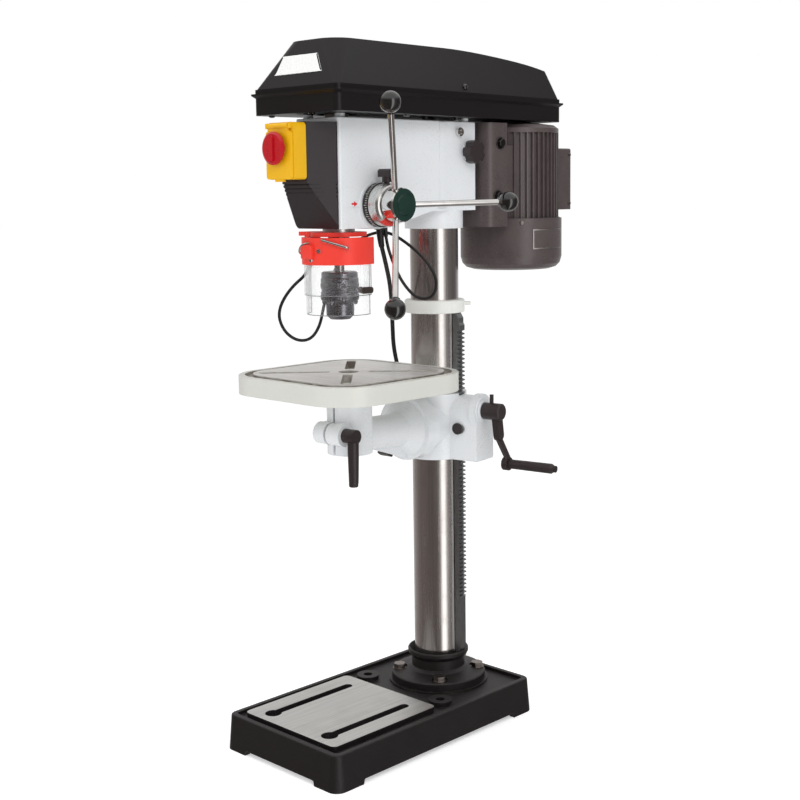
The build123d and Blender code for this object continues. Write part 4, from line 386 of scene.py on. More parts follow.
def vector_figure(tree, operation, first, second, output="Value"):
    node = add(tree, "VectorMath", {"operation": operation})
    join(tree, first, node.inputs[0])
    join(tree, second, node.inputs[1])
    return node.outputs[output]


def tint(tree, factor, first, second):
    """Two colours mixed by a factor."""
    node = add(tree, "Mix", {"data_type": "RGBA"})
    for value, number in ((factor, 0), (first, 6), (second, 7)):
        join(tree, (*value, 1.0) if isinstance(value, tuple) else value, node.inputs[number])
    return node.outputs[2]


def span(tree, value, low, high, out_low=0.0, out_high=1.0):
    """A value taken from one range to another and kept inside it."""
    node = add(tree, "MapRange", None, Value=value)
    limits = (("From Min", low), ("From Max", high), ("To Min", out_low), ("To Max", out_high))
    for name, number in limits:
        node.inputs[name].default_value = number
    return node.outputs[0]


def within(tree, value, low, high, soft=0.001):
    """1 between low and high, with a soft edge inside each limit."""
    return times(tree, span(tree, value, low, low + soft), span(tree, value, high, high - soft))


def own_place(tree):
    """Where the point lies, in the part's own frame."""
    return add(tree, "TexCoord").outputs["Object"]


def facing(tree):
    return add(tree, "NewGeometry").outputs["Normal"]


def axes_of(tree, vector):
    return add(tree, "SeparateXYZ", None, Vector=vector).outputs


def speckle(tree, scale, stretch=(1.0, 1.0, 1.0), detail=3.0):
    """Noise in the object's own coordinates, from 0 to 1."""
    place = own_place(tree)
    if stretch != (1.0, 1.0, 1.0):
        place = add(tree, "Mapping", None, Vector=place, Scale=stretch).outputs[0]
    return noise(tree, place, scale, detail)


def noise(tree, place, scale, detail):
    return add(tree, "TexNoise", None, Vector=place, Scale=scale, Detail=detail).outputs[0]


def shared_effect(name, inputs, output):
    tree = bpy.data.node_groups.new(name, "ShaderNodeTree")
    for socket_name, value in inputs:
        socket = tree.interface.new_socket(
            name=socket_name, in_out="INPUT", socket_type="NodeSocketFloat"
        )
        socket.default_value = value
    tree.interface.new_socket(name=output, in_out="OUTPUT", socket_type="NodeSocketFloat")
    given = tree.nodes.new("NodeGroupInput")
    return tree, given, tree.nodes.new("NodeGroupOutput")


# %% Worn edges, dust and grinding marks
# A Bevel node bends the normal near an edge. Where it leaves the true normal, the paint wears.
edge_wear, given, taken = shared_effect("edge_wear", (("Radius", 0.002), ("Amount", 0.6)), "Mask")
bent = add(edge_wear, "Bevel", {"samples": 4}, Radius=given.outputs["Radius"]).outputs[0]
agreement = vector_figure(edge_wear, "DOT_PRODUCT", bent, facing(edge_wear))
edge = span(edge_wear, figure(edge_wear, "SUBTRACT", 1.0, agreement), 0.02, 0.20)
patchy = span(edge_wear, speckle(edge_wear, 60.0, detail=5.0), 0.36, 0.62)
worn = times(edge_wear, patchy, given.outputs["Amount"], edge)
edge_wear.links.new(worn, taken.inputs[0])

dust, given, taken = shared_effect("dust", (("Amount", 0.3),), "Mask")
facing_up = span(dust, axes_of(dust, facing(dust))["Z"], 0.5, 1.0)
drift = span(dust, speckle(dust, 22.0, detail=4.0), 0.35, 0.75)
laid = times(dust, drift, given.outputs["Amount"], facing_up)
dust.links.new(laid, taken.inputs[0])

grain, given, taken = shared_effect("grain", (("Fine", 900.0), ("Broad", 30.0)), "Value")
fine = noise(grain, own_place(grain), given.outputs["Fine"], 2.0)
broad = noise(grain, own_place(grain), given.outputs["Broad"], 3.0)
both = figure(grain, "ADD", times(grain, fine, 0.7), times(grain, broad, 0.3))
grain.links.new(both, taken.inputs[0])
print("shared effects", [group.name for group in bpy.data.node_groups])

# %% [markdown]
# ## Painted and moulded finishes
#
# Paint is a colour that varies a little, a gloss that varies a little, and a skin with a fine
# ripple. One recipe serves the gloss white of the castings, the black powder coat, the moulded
# covers and the bright plastics. Along sharp edges the paint thins, and what faces up gathers
# dust. Values that are the same all over go straight on the shader's own sockets.


# %% A recipe for paint and plastic
def effect(tree, group, **values):
    node = tree.nodes.new("ShaderNodeGroup")
    node.node_tree = group
    for name, value in values.items():
        node.inputs[name].default_value = value
    return node.outputs[0]


def new_finish(name, metallic=0.0, specular=0.5, coat=0.0, coat_roughness=0.1):
    material = bpy.data.materials.new(name)
    material.use_nodes = True
    shader = material.node_tree.nodes["Principled BSDF"]
    shader.inputs["Metallic"].default_value = metallic
    shader.inputs["Specular IOR Level"].default_value = specular
    shader.inputs["Coat Weight"].default_value = coat
    shader.inputs["Coat Roughness"].default_value = coat_roughness
    return material, material.node_tree, shader


def drive(tree, shader, colour, roughness, metallic=None):
    """Joins what varies over the surface to the shader's own sockets."""
    join(tree, colour, shader.inputs["Base Color"])
    join(tree, roughness, shader.inputs["Roughness"])
    join(tree, metallic, shader.inputs["Metallic"])


def ripple(tree, shader, height, strength, depth=0.001):
    bump = add(tree, "Bump", None, Height=height, Strength=strength, Distance=depth)
    tree.links.new(bump.outputs[0], shader.inputs["Normal"])


def paint_skin(tree, value, colour, shade, wear, wear_colour, wear_radius, dusty, dust_colour):
    """Paint that varies a little, with dust on top and worn edges."""
    dark = tuple(channel * (1.0 - shade) for channel in colour)
    pale = tuple(min(1.0, channel * (1.0 + shade)) for channel in colour)
    surface = tint(tree, span(tree, value, 0.35, 0.65), dark, pale)
    if dusty:
        surface = tint(tree, effect(tree, dust, Amount=dusty), surface, dust_colour)
    if wear:
        mask = effect(tree, edge_wear, Radius=wear_radius, Amount=wear)
        surface = tint(tree, mask, surface, wear_colour)
    return surface


def painted(name, colour, gloss, fine=900.0, broad=30.0, skin=0.15, shade=0.12, wear=0.0,
            wear_colour=(0.30, 0.28, 0.26), dusty=0.0, **shader_values):
    """Paint or moulded plastic. gloss is its lowest and highest roughness."""
    material, tree, shader = new_finish(name, **shader_values)
    value = effect(tree, grain, Fine=fine, Broad=broad)
    surface = paint_skin(
        tree, value, colour, shade, wear, wear_colour, 0.0016, dusty, (0.42, 0.40, 0.37)
    )
    drive(tree, shader, surface, span(tree, value, 0.35, 0.65, *gloss))
    ripple(tree, shader, value, skin)
    return material


# %% Paints and plastics
casting_white = painted("casting_white", (0.76, 0.78, 0.80), (0.26, 0.36), fine=420.0, skin=0.06,
                        shade=0.015, coat=0.25, wear=0.10, wear_colour=(0.50, 0.51, 0.52))
collar_white = painted("collar_white", (0.80, 0.81, 0.77), (0.34, 0.44), skin=0.08, shade=0.03)
cover_black = painted("cover_black", (0.0085, 0.0066, 0.0076), (0.34, 0.44), fine=1500.0, broad=14.0,
                      skin=0.10, shade=0.10, dusty=0.004, specular=0.35)
moulded_black = painted("moulded_black", (0.0230, 0.0175, 0.0205), (0.40, 0.52), fine=2000.0,
                        skin=0.20, shade=0.12, dusty=0.015)
motor_black = painted("motor_black", (0.0850, 0.0660, 0.0665), (0.25, 0.34), fine=1100.0, skin=0.22,
                      shade=0.14, wear=0.12, wear_colour=(0.15, 0.13, 0.13), dusty=0.015)
cast_black = painted("cast_black", (0.0105, 0.0078, 0.0082), (0.42, 0.56), fine=700.0, skin=0.45,
                     shade=0.20, wear=0.45, wear_colour=(0.12, 0.10, 0.09), dusty=0.012)
handle_black = painted("handle_black", (0.0300, 0.0205, 0.0215), (0.34, 0.46), fine=1300.0, skin=0.18,
                       shade=0.12, wear=0.10, wear_colour=(0.10, 0.08, 0.08))
ball_black = painted("ball_black", (0.0060, 0.0055, 0.0055), (0.05, 0.10), skin=0.02, shade=0.2,
                     coat=1.0, coat_roughness=0.03)
guard_red = painted("guard_red", (0.86, 0.045, 0.028), (0.30, 0.40), fine=1200.0, skin=0.06,
                    shade=0.05, dusty=0.02)
button_red = painted("button_red", (0.46, 0.006, 0.012), (0.20, 0.30), skin=0.04, shade=0.05, coat=0.4)
switch_yellow = painted("switch_yellow", (0.82, 0.45, 0.006), (0.28, 0.38), fine=1400.0, skin=0.05,
                        shade=0.05)
button_green = painted("button_green", (0.02, 0.36, 0.08), (0.25, 0.35), skin=0.04, shade=0.05)
cord_black = painted("cord_black", (0.0125, 0.0115, 0.0120), (0.34, 0.46), fine=1800.0, skin=0.10,
                     shade=0.15)
belt_black = painted("belt_black", (0.020, 0.019, 0.019), (0.62, 0.78), fine=1600.0, skin=0.35,
                     shade=0.25, wear=0.3, wear_colour=(0.08, 0.075, 0.07))
print("paints", len(bpy.data.materials))

# %% [markdown]
# ## Bare metals
#
# Bare steel is told apart by its polish and by the marks of how it was made. The column was drawn
# and polished along its length; the chuck and quill were turned, so their marks run round; plates
# were ground straight across; pulleys were cast, then turned. One recipe stretches its noise in
# the direction of those marks. Roughness follows the marks, and a faint bump lets them catch light.


# %% A recipe for bare metal
def bare_metal(name, colour, gloss, marks=(1.0, 1.0, 1.0), scale=300.0, groove=0.05, stain=0.10,
               stain_colour=(0.16, 0.13, 0.11), wear=0.0):
    """Bare metal. marks stretches the noise, so a small number is the way that the marks run."""
    material, tree, shader = new_finish(name, metallic=1.0)
    scratch = speckle(tree, scale, marks, detail=4.0)
    cloud = speckle(tree, 26.0, detail=4.0)
    dark = tuple(channel * 0.86 for channel in colour)
    surface = tint(tree, span(tree, scratch, 0.3, 0.7), dark, colour)
    surface = tint(tree, span(tree, cloud, 0.55, 0.80, 0.0, stain), surface, stain_colour)
    if wear:
        mask = effect(tree, edge_wear, Radius=0.0010, Amount=wear)
        surface = tint(tree, mask, surface, (0.80, 0.79, 0.78))
    marked, stained = span(tree, scratch, 0.3, 0.7, *gloss), span(tree, cloud, 0.45, 0.75, 0.0, 0.06)
    drive(tree, shader, surface, figure(tree, "ADD", marked, stained))
    ripple(tree, shader, scratch, groove, 0.0005)
    return material


# %% Steels, chrome and cast aluminium
lengthwise = (1.0, 1.0, 0.012)
column_steel = bare_metal("column_steel", (0.70, 0.67, 0.655), (0.16, 0.27), lengthwise, 420.0,
                          groove=0.03, stain=0.20)
rack_steel = bare_metal("rack_steel", (0.42, 0.44, 0.45), (0.34, 0.50), (1.0, 1.0, 0.4), 300.0,
                        groove=0.15, stain=0.35, wear=0.5)
turned_steel = bare_metal("turned_steel", (0.66, 0.65, 0.64), (0.20, 0.34), (0.05, 0.05, 1.0), 900.0,
                          groove=0.08)
chuck_steel = bare_metal("chuck_steel", (0.250, 0.240, 0.275), (0.18, 0.28), (0.08, 0.08, 1.0), 700.0,
                         groove=0.08, stain=0.3, wear=0.35)
jaw_steel = bare_metal("jaw_steel", (0.52, 0.51, 0.50), (0.26, 0.38), lengthwise, 600.0)
chrome = bare_metal("chrome", (0.80, 0.79, 0.78), (0.04, 0.09), scale=60.0, groove=0.008, stain=0.04)
bolt_steel = bare_metal("bolt_steel", (0.32, 0.28, 0.26), (0.26, 0.42), scale=240.0, groove=0.12,
                        stain=0.5, stain_colour=(0.20, 0.11, 0.06), wear=0.3)
dark_bolt = bare_metal("dark_bolt", (0.075, 0.070, 0.068), (0.34, 0.48), scale=300.0, groove=0.12,
                       stain=0.3, wear=0.5)
pulley_cast = bare_metal("pulley_cast", (0.58, 0.58, 0.57), (0.30, 0.46), (0.06, 0.06, 1.0), 500.0,
                         groove=0.15, stain=0.2, wear=0.3)
print("metals done, materials", len(bpy.data.materials))

# %% [markdown]
# ## Painted castings with a machined face
#
# The base and the table are painted castings whose working face was ground afterwards. The paint
# stops exactly where the cutter passed. So one material holds both finishes, and a mask made from
# height and from the way the face looks chooses between them. The table's groove and rim lie
# below the worktop, where a thin brown line of old rust and grime gathers. Its slots and the gutter
# inside the rim are darkened too: partly old grime, partly painted shade in those recesses.


# %% Paint below, ground metal on top
def rim_rust(tree, rise, height, amount):
    """Rust along the edges of a thin band just below the worked face."""
    rust = span(tree, speckle(tree, 90.0, detail=6.0), 0.42, 0.66, 0.0, amount)
    band = span(tree, rise, height - 0.0065, height - 0.0008)
    return times(tree, band, effect(tree, edge_wear, Radius=0.0030, Amount=1.0), rust)


def slot_grime_and_shade(tree, place, height, low, high):
    """Old grime and painted shade in the slots and the gutter inside the rim. The outer wall stays
    clean.
    """
    across = within(tree, place["X"], low.x, high.x)
    along = within(tree, place["Y"], low.y, high.y)
    floor = span(tree, place["Z"], height - 0.0125, height - 0.0115)
    lip = span(tree, place["Z"], height - 0.0011, height - 0.0013)
    middle = (*((low + high) / 2), height)
    reach = vector_figure(tree, "DISTANCE", own_place(tree), middle)
    patches = span(tree, speckle(tree, 55.0, detail=6.0), 0.30, 0.62, 0.35, 0.9)
    return times(tree, across, along, floor, lip, span(tree, reach, 0.1505, 0.1480), patches)


def machined_top(name, paint, paint_gloss, skin, metal, metal_gloss, height, marks, shade, wear,
                 wear_colour=(0.16, 0.135, 0.125), grime=0.0, dusty=0.0, coat=0.0, inside=None):
    """A painted casting whose flat top, at one height, is ground metal."""
    material, tree, shader = new_finish(name, coat=coat)
    place = axes_of(tree, own_place(tree))
    level = span(tree, place["Z"], height - 0.00012, height - 0.00004)
    ground = times(tree, level, span(tree, axes_of(tree, facing(tree))["Z"], 0.90, 0.98))
    value = effect(tree, grain, Fine=800.0, Broad=26.0)
    painted_part = paint_skin(
        tree, value, paint, shade, wear, wear_colour, 0.0022, dusty, (0.34, 0.31, 0.29)
    )
    if grime:
        rust = rim_rust(tree, place["Z"], height, grime)
        painted_part = tint(tree, rust, painted_part, (0.20, 0.11, 0.06))
    # Slots and gutter darkened brown: partly old grime, partly painted shade in those recesses.
    if inside:
        grime_and_shade = slot_grime_and_shade(tree, place, height, *inside)
        painted_part = tint(tree, grime_and_shade, painted_part, (0.150, 0.115, 0.090))
    scratch = speckle(tree, 260.0, marks, detail=4.0)
    cloud = speckle(tree, 18.0, detail=5.0)
    metal_dark = tuple(channel * 0.80 for channel in metal)
    metal_part = tint(tree, span(tree, scratch, 0.32, 0.68), metal_dark, metal)
    metal_part = tint(tree, span(tree, cloud, 0.52, 0.80, 0.0, 0.30), metal_part, (0.42, 0.38, 0.34))
    rough = add(tree, "Mix", {"data_type": "FLOAT"})
    join(tree, ground, rough.inputs[0])
    join(tree, span(tree, value, 0.35, 0.65, *paint_gloss), rough.inputs[2])
    join(tree, span(tree, scratch, 0.3, 0.7, *metal_gloss), rough.inputs[3])
    drive(tree, shader, tint(tree, ground, painted_part, metal_part), rough.outputs[0], ground)
    ripple(tree, shader, value, skin)
    return material


base_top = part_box("base")[1].z
base_finish = machined_top(
    "base_casting", (0.0095, 0.0070, 0.0078), (0.44, 0.58), 0.5, (0.70, 0.695, 0.68), (0.30, 0.44),
    base_top, (1.0, 0.03, 1.0), shade=0.2, wear=0.45, dusty=0.02,
)
table_low, table_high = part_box("table")
table_top = table_high.z
rim_width = Vector((0.0086, 0.0086))
table_finish = machined_top(
    "table_casting", (0.64, 0.645, 0.60), (0.30, 0.40), 0.10, (0.94, 0.93, 0.91), (0.46, 0.60),
    table_top, (0.03, 1.0, 1.0), shade=0.02, wear=0.25, wear_colour=(0.42, 0.36, 0.30), grime=0.9,
    coat=0.15, inside=(table_low.to_2d() + rim_width, table_high.to_2d() - rim_width),
)
print("machined faces at", round(base_top, 4), round(table_top, 4))

# %% [markdown]
# ## Clear shield and feed dial
#
# The chuck shield is thin clear plastic: nearly nothing face on, and a pale line where it turns
# edge on. Refraction would work, but it would keep the lamps off the chuck behind it. So the
# shield lets light straight through, and a Layer Weight node thickens it at grazing angles. Where
# it turns edge on, and on its cut faces, its colour is painted dark grey: a painted shade in place
# of what refraction would show. The depth ring is dark, with a pale scale cut as real lines later;
# the silver drum behind the hub has a red sector where the pointer rests.

# %% Clear plastic
clear_plastic, tree, shader = new_finish("clear_plastic", specular=0.6)
haze = speckle(tree, 40.0, (1.0, 1.0, 0.3), detail=5.0)
edge_on = add(tree, "LayerWeight", None, Blend=0.22).outputs["Facing"]
sheet_colour = tint(tree, haze, (0.80, 0.82, 0.84), (0.92, 0.94, 0.95))
# Painted shade: edge on and on its cut faces the sheet's colour goes dark grey, standing in for
# refraction.
flat_face = figure(tree, "ABSOLUTE", axes_of(tree, facing(tree))["Z"])
painted_edge_shade = figure(tree, "MAXIMUM", span(tree, edge_on, 0.55, 0.95), span(tree, flat_face, 0.6, 0.9))
sheet_colour = tint(tree, painted_edge_shade, sheet_colour, (0.13, 0.135, 0.14))
drive(tree, shader, sheet_colour, span(tree, haze, 0.3, 0.7, 0.05, 0.12))
grazing, cloudy = span(tree, edge_on, 0.0, 1.0, 0.012, 0.60), span(tree, haze, 0.5, 0.8, 0.0, 0.03)
veil = figure(tree, "MAXIMUM", figure(tree, "ADD", grazing, cloudy), times(tree, painted_edge_shade, 0.55))
tree.links.new(veil, shader.inputs["Alpha"])
shader.inputs["IOR"].default_value = 1.49


# %% Drum with its red sector
drum_low, drum_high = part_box("depth_drum")
drum_finish, tree, shader = new_finish("drum_finish")
from_centre = vector_figure(tree, "SUBTRACT", own_place(tree), (drum_low + drum_high) / 2, "Vector")
drum = axes_of(tree, from_centre)
around = figure(tree, "ARCTAN2", drum["Z"], drum["Y"])
sector = within(tree, around, radians(-132), radians(-64), radians(1))
red_mask = times(tree, sector, span(tree, drum["X"], 0.0010, 0.0012))
turning = speckle(tree, 700.0, (1.0, 0.2, 0.2))
silver = tint(tree, span(tree, turning, 0.3, 0.7), (0.62, 0.62, 0.61), (0.80, 0.80, 0.79))
drive(tree, shader, tint(tree, red_mask, silver, (0.60, 0.03, 0.02)),
      span(tree, turning, 0.3, 0.7, 0.24, 0.36), figure(tree, "SUBTRACT", 0.95, red_mask))
ripple(tree, shader, turning, 0.05)

# %% Hub: chrome with a dark face
hub_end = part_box("feed_hub")[1].x
hub_finish, tree, shader = new_finish("hub_finish")
cap = span(tree, axes_of(tree, own_place(tree))["X"], hub_end - 0.0036, hub_end - 0.0034)
polish = speckle(tree, 50.0, detail=2.0)
cap_colour = tint(tree, polish, (0.008, 0.026, 0.020), (0.014, 0.040, 0.032))
bright = tint(tree, polish, (0.76, 0.75, 0.74), (0.84, 0.83, 0.82))
shine = figure(tree, "ADD", span(tree, polish, 0.3, 0.7, 0.05, 0.10), times(tree, cap, 0.10))
drive(tree, shader, tint(tree, cap, bright, cap_colour), shine, figure(tree, "SUBTRACT", 1.0, cap))
ripple(tree, shader, polish, 0.01)

# %% Plug: black moulding, bright pins
plug_finish, tree, shader = new_finish("plug_finish")
along_pins = vector_figure(tree, "DOT_PRODUCT", own_place(tree), (0.7071, -0.7071, 0.0))
pins = span(tree, along_pins, -0.2268, -0.2266)
value = effect(tree, grain, Fine=1400.0, Broad=40.0)
moulding = tint(tree, value, (0.010, 0.009, 0.009), (0.018, 0.016, 0.016))
pin_metal = tint(tree, value, (0.70, 0.62, 0.45), (0.80, 0.74, 0.60))
drive(tree, shader, tint(tree, pins, moulding, pin_metal),
      span(tree, value, 0.35, 0.65, 0.30, 0.42), pins)
ripple(tree, shader, value, 0.1)
print("special finishes done")

# %% [markdown]
# ## Every solid gets its finish
#
# A solid keeps its shape and only its finish changes: the material goes into the slot that the
# solid already has. One table pairs them, so that nothing is forgotten, and the last line counts
# what is left bare.

# %% Finishes on the solids
finishes = {
    casting_white: ("head_casting", "table_bracket", "table_arm"),
    collar_white: ("rack_collar",),
    base_finish: ("base",),
    table_finish: ("table",),
    cast_black: ("column_flange",),
    cover_black: ("guard_lid", "belt_tray"),
    moulded_black: ("front_cover", "spring_cup"),
    motor_black: ("motor_body", "motor_bracket", "fan_cowl", "terminal_box"),
    handle_black: ("crank_arm", "crank_grip", "table_lever", "column_lock_knob", "tension_knob",
                   "depth_lock_knob"),
    ball_black: ("ball_knobs",),
    guard_red: ("guard_band", "guard_holder"),
    button_red: ("stop_button",),
    switch_yellow: ("switch_box", "switch_flap"),
    button_green: ("start_button",),
    clear_plastic: ("inner_shield", "outer_shield"),
    cord_black: ("mains_cord", "cord_coil", "guard_cable"),
    plug_finish: ("plug",),
    belt_black: ("front_belt", "rear_belt"),
    column_steel: ("column",),
    rack_steel: ("rack", "table_gear"),
    turned_steel: ("quill", "spindle", "slide_rods", "pinion_shaft", "motor_rotor"),
    chuck_steel: ("chuck_body", "chuck_sleeve"),
    jaw_steel: ("jaw_1", "jaw_2", "jaw_3"),
    chrome: ("feed_spokes",),
    bolt_steel: ("flange_bolts", "tray_screws", "wing_screw"),
    pulley_cast: ("spindle_pulley", "idler_pulley", "motor_pulley"),
    dark_bolt: ("idler_arm", "depth_ring"),
    drum_finish: ("depth_drum",),
    hub_finish: ("feed_hub",),
}
finished = set()
for material, names in finishes.items():
    for name in names:
        solid = nodes[name]
        for slot in solid.material_slots:
            slot.material = material
        finished.add(name)
mains_lead.data.materials.append(cord_black)
signal_cable.data.materials.append(cord_black)
for polygon in signal_cable.data.polygons:
    polygon.use_smooth = True
print("finished", len(finished), "left bare:", sorted(set(nodes) - finished))

# %% [markdown]
# ## Small hardware
#
# Screws are what the eye counts on a machine. Each kind is drawn out of one disc, as on a lathe:
# the disc is extruded along its axis step by step, and each step is scaled to its own radius. A
# hexagon socket is sunk by an inset and an extrusion whose ring is then squared into six sides.
# Each kind is modelled once, pointing up at the origin, and every screw gets its own copy.


# %% Beginning and ending a piece
def begin(kind, name, scale=(1.0, 1.0, 1.0), **settings):
    """A fresh primitive at its size and place, open in edit mode with all of it selected."""
    bpy.ops.object.select_all(action="DESELECT")
    getattr(bpy.ops.mesh, f"primitive_{kind}_add")(**settings)
    piece = bpy.context.active_object
    piece.name = name
    piece.scale = scale
    bpy.ops.object.transform_apply(location=True, rotation=True, scale=True)
    bpy.ops.object.mode_set(mode="EDIT")
    bpy.ops.mesh.select_all(action="SELECT")
    return piece


def outwards(piece, angle=35):
    """Closes a piece's making: doubles merged, faces turned outwards, smooth by angle."""
    bpy.ops.mesh.select_all(action="SELECT")
    bpy.ops.mesh.remove_doubles(threshold=0.000005)
    bpy.ops.mesh.normals_make_consistent(inside=False)
    bpy.ops.object.mode_set(mode="OBJECT")
    bpy.ops.object.shade_smooth_by_angle(angle=radians(angle))


def pick(piece, kind, wanted):
    """Selects the edges or faces of the piece being edited that pass a test."""
    bpy.ops.mesh.select_mode(type=kind)
    bpy.ops.mesh.select_all(action="DESELECT")
    shape = bmesh.from_edit_mesh(piece.data)
    for element in shape.faces if kind == "FACE" else shape.edges:
        element.select_set(bool(wanted(element)))
    bmesh.update_edit_mesh(piece.data)


def extrude(way):
    bpy.ops.mesh.extrude_region_move(TRANSFORM_OT_translate={"value": tuple(way)})


def thicken(piece, thickness, side):
    modifier = piece.modifiers.new("thick", "SOLIDIFY")
    modifier.thickness = thickness
    modifier.offset = side
    bpy.ops.object.modifier_apply(modifier="thick")


def dress(piece, finish, body):
    piece.data.materials.clear()
    piece.data.materials.append(finish)
    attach(piece, body)
    return piece


def pattern_from(piece):
    """Keeps a piece's mesh as a pattern for copies, and lets the piece itself go."""
    shape = piece.data
    bpy.data.objects.remove(piece)
    return shape


# %% Turning a piece from a disc
def ring_scaled(share, height):
    bpy.ops.transform.resize(value=(share, share, 1), center_override=(0, 0, height))


def square_into_hexagon(piece, flats, bottom):
    """Draws the socket's round wall in to six sides."""
    shape = bmesh.from_edit_mesh(piece.data)
    for vertex in shape.verts:
        on_wall = abs(hypot(vertex.co.x, vertex.co.y) - flats) < 0.00001
        if on_wall and vertex.co.z > bottom - 0.0001:
            turn = Vector((vertex.co.x, vertex.co.y)).angle_signed(Vector((1, 0)))
            side = (turn + pi / 6) % (pi / 3) - pi / 6
            vertex.co.x *= 0.9 / cos(side)
            vertex.co.y *= 0.9 / cos(side)
    bmesh.update_edit_mesh(piece.data)


def turned(name, steps, sides=36, socket=None):
    """A disc drawn up along +Z through steps of (height, radius), in millimetres."""
    heights = [height / 1000 for height, radius in steps]
    sizes = [radius / 1000 for height, radius in steps]
    first_ring = {"vertices": sides, "radius": sizes[0], "location": (0, 0, heights[0])}
    piece = begin("circle", name, fill_type="NGON", **first_ring)
    for number in range(1, len(steps)):
        extrude((0, 0, heights[number] - heights[number - 1]))
        ring_scaled(sizes[number] / sizes[number - 1], heights[number])
    if socket:
        flats, deep = socket[0] / 1000, socket[1] / 1000
        extrude((0, 0, 0))
        ring_scaled(flats / sizes[-1], heights[-1])
        extrude((0, 0, -deep))
        square_into_hexagon(piece, flats, heights[-1] - deep)
    outwards(piece)
    return pattern_from(piece)


def set_in_place(hardware, name, place, outward, body, turn=0.0):
    """A copy of a pattern with its own mesh, standing at a place (mm) and pointing outward."""
    pattern, finish, slot = hardware
    mesh = pattern.copy()
    mesh.name = name
    pointed = Vector(outward).to_track_quat("Z", "Y").to_matrix().to_4x4()
    about = Matrix.Rotation(radians(turn), 4, "Z")
    mesh.transform(Matrix.Translation(Vector(place) / 1000) @ pointed @ about)
    piece = bpy.data.objects.new(name, mesh)
    bpy.context.scene.collection.objects.link(piece)
    return dress(piece, finish, body)


# %% Patterns, each with its finish
socket_bolt = (
    turned("socket_bolt", ((-2, 6.4), (5.4, 6.4), (6.4, 5.6)), socket=(3.4, 3.2)), chrome, "chromed"
)
dome_steps = ((-2, 4.9), (0.6, 4.9), (1.7, 4.4), (2.5, 3.4), (2.9, 2.4))
dome_screw = (turned("dome_screw", dome_steps, socket=(1.7, 1.6)), ball_black, "black_gloss")
hex_bolt = (turned("hex_bolt", ((-1, 6.9), (4.2, 6.9), (5.0, 5.9)), 6), dark_bolt, "black_oxide")
washer = (turned("washer", ((-1, 9.0), (1.2, 9.0), (1.5, 8.6))), dark_bolt, "black_oxide")
pan_steps = ((-1.5, 3.3), (1.2, 3.3), (2.0, 2.8), (2.3, 1.9))
pan_screw = (turned("pan_screw", pan_steps, 28, socket=(1.1, 1.1)), bolt_steel, "bright_steel")
guard_screw = (pan_screw[0], chrome, "chromed")
cap_steps = ((-1, 8.6), (1.0, 8.6), (1.8, 7.9), (1.9, 5.4))
plug_cap = (turned("plug_cap", cap_steps), handle_black, "black_plastic")
print("patterns", [kind[0].name for kind in (socket_bolt, dome_screw, hex_bolt, washer, pan_screw)])

# %% [markdown]
# ## Screws on the castings, covers and motor
#
# A bright socket bolt clamps the motor rods in the head. Black hexagon bolts hold the motor's
# bracket, domed screws hold the lid's catch and hang under the tray, and small pan heads close
# the cowl and the terminal box. Where the machine has the same screw on its far side, it is set
# there too, because the part is seen from all round.

# %% Screws in place
both_sides = (("right", 1), ("left", -1))
head_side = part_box("head_casting")[1].x * 1000 - 2.0
bracket_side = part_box("motor_bracket")[1].x * 1000
box_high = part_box("terminal_box")[1] * 1000
washer_thick, tray_under = 1.4, 902.2
cowl_y, cowl_r, cowl_screw_level = 256.0, 80.0, 747.0


def outward_at(angle):
    return Vector((cos(radians(angle)), sin(radians(angle)), 0))


for side_name, side in both_sides:
    ending = "" if side > 0 else "_left"
    rod_clamp = (side * head_side, 83.1, 881.6)
    set_in_place(socket_bolt, "rod_clamp_bolt" + ending, rod_clamp, (side, 0, 0), "stand")
    for level_name, y, z in (("upper", 166.1, 866.9), ("lower", 160.5, 788.2)):
        label = f"bracket_bolt_{side_name}_{level_name}"
        set_in_place(washer, f"{label}_washer", (side * bracket_side, y, z), (side, 0, 0), "motor")
        head_at = (side * (bracket_side + washer_thick), y, z)
        set_in_place(hex_bolt, label, head_at, (side, 0, 0), "motor", turn=12)
    catch = (side * 62.8, 80.1, 944.9)
    set_in_place(dome_screw, f"lid_catch_screw_{side_name}", catch, (side * 0.92, 0.06, 0.38), "lid")
    for level_name, z in (("upper", 852), ("lower", 775)):
        spot = (side * (box_high.x - 0.6), box_high.y - 9.0, z)
        set_in_place(pan_screw, f"box_screw_{side_name}_{level_name}", spot, (side, 0, 0), "motor")
tray_screws = ((-69.5, -171.3), (14.7, -172.3), (62.0, -40.0), (-62.0, -40.0), (40.8, 84.5))
for number, (x, y) in enumerate(tray_screws, 1):
    set_in_place(dome_screw, f"tray_edge_screw_{number}", (x, y, tray_under), (0, 0, -1), "stand")
for number, angle in enumerate((-38.0, 82.0, 202.0), 1):
    out = outward_at(angle)
    spot = Vector((0, cowl_y, cowl_screw_level)) + out * (cowl_r - 0.9)
    set_in_place(pan_screw, f"cowl_screw_{number}", spot, out, "motor")
set_in_place(plug_cap, "gear_pin_cap", (59.0, 61.6, 447.0), (0.174, -0.985, 0), "gear")
print("screws set")

# %% Moulded grip of the table clamp
lever_low, lever_high = (corner * 1000 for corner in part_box("table_lever"))
grip_steps = ((0, 7.7), (2, 7.9), (20, 7.7), (52, 6.9), (57, 6.7), (60.5, 5.6), (62, 3.6), (62.4, 1.8))
grip = (turned("lever_grip", grip_steps), handle_black, "black_plastic")
grip_place = (lever_high.x - 6.8, lever_low.y + 10.7, lever_low.z + 63.0)
set_in_place(grip, "lever_grip", grip_place, (0.01, -0.01, -1), "table_clamp")
print("lever", [round(v, 1) for v in (*lever_low, *lever_high)])

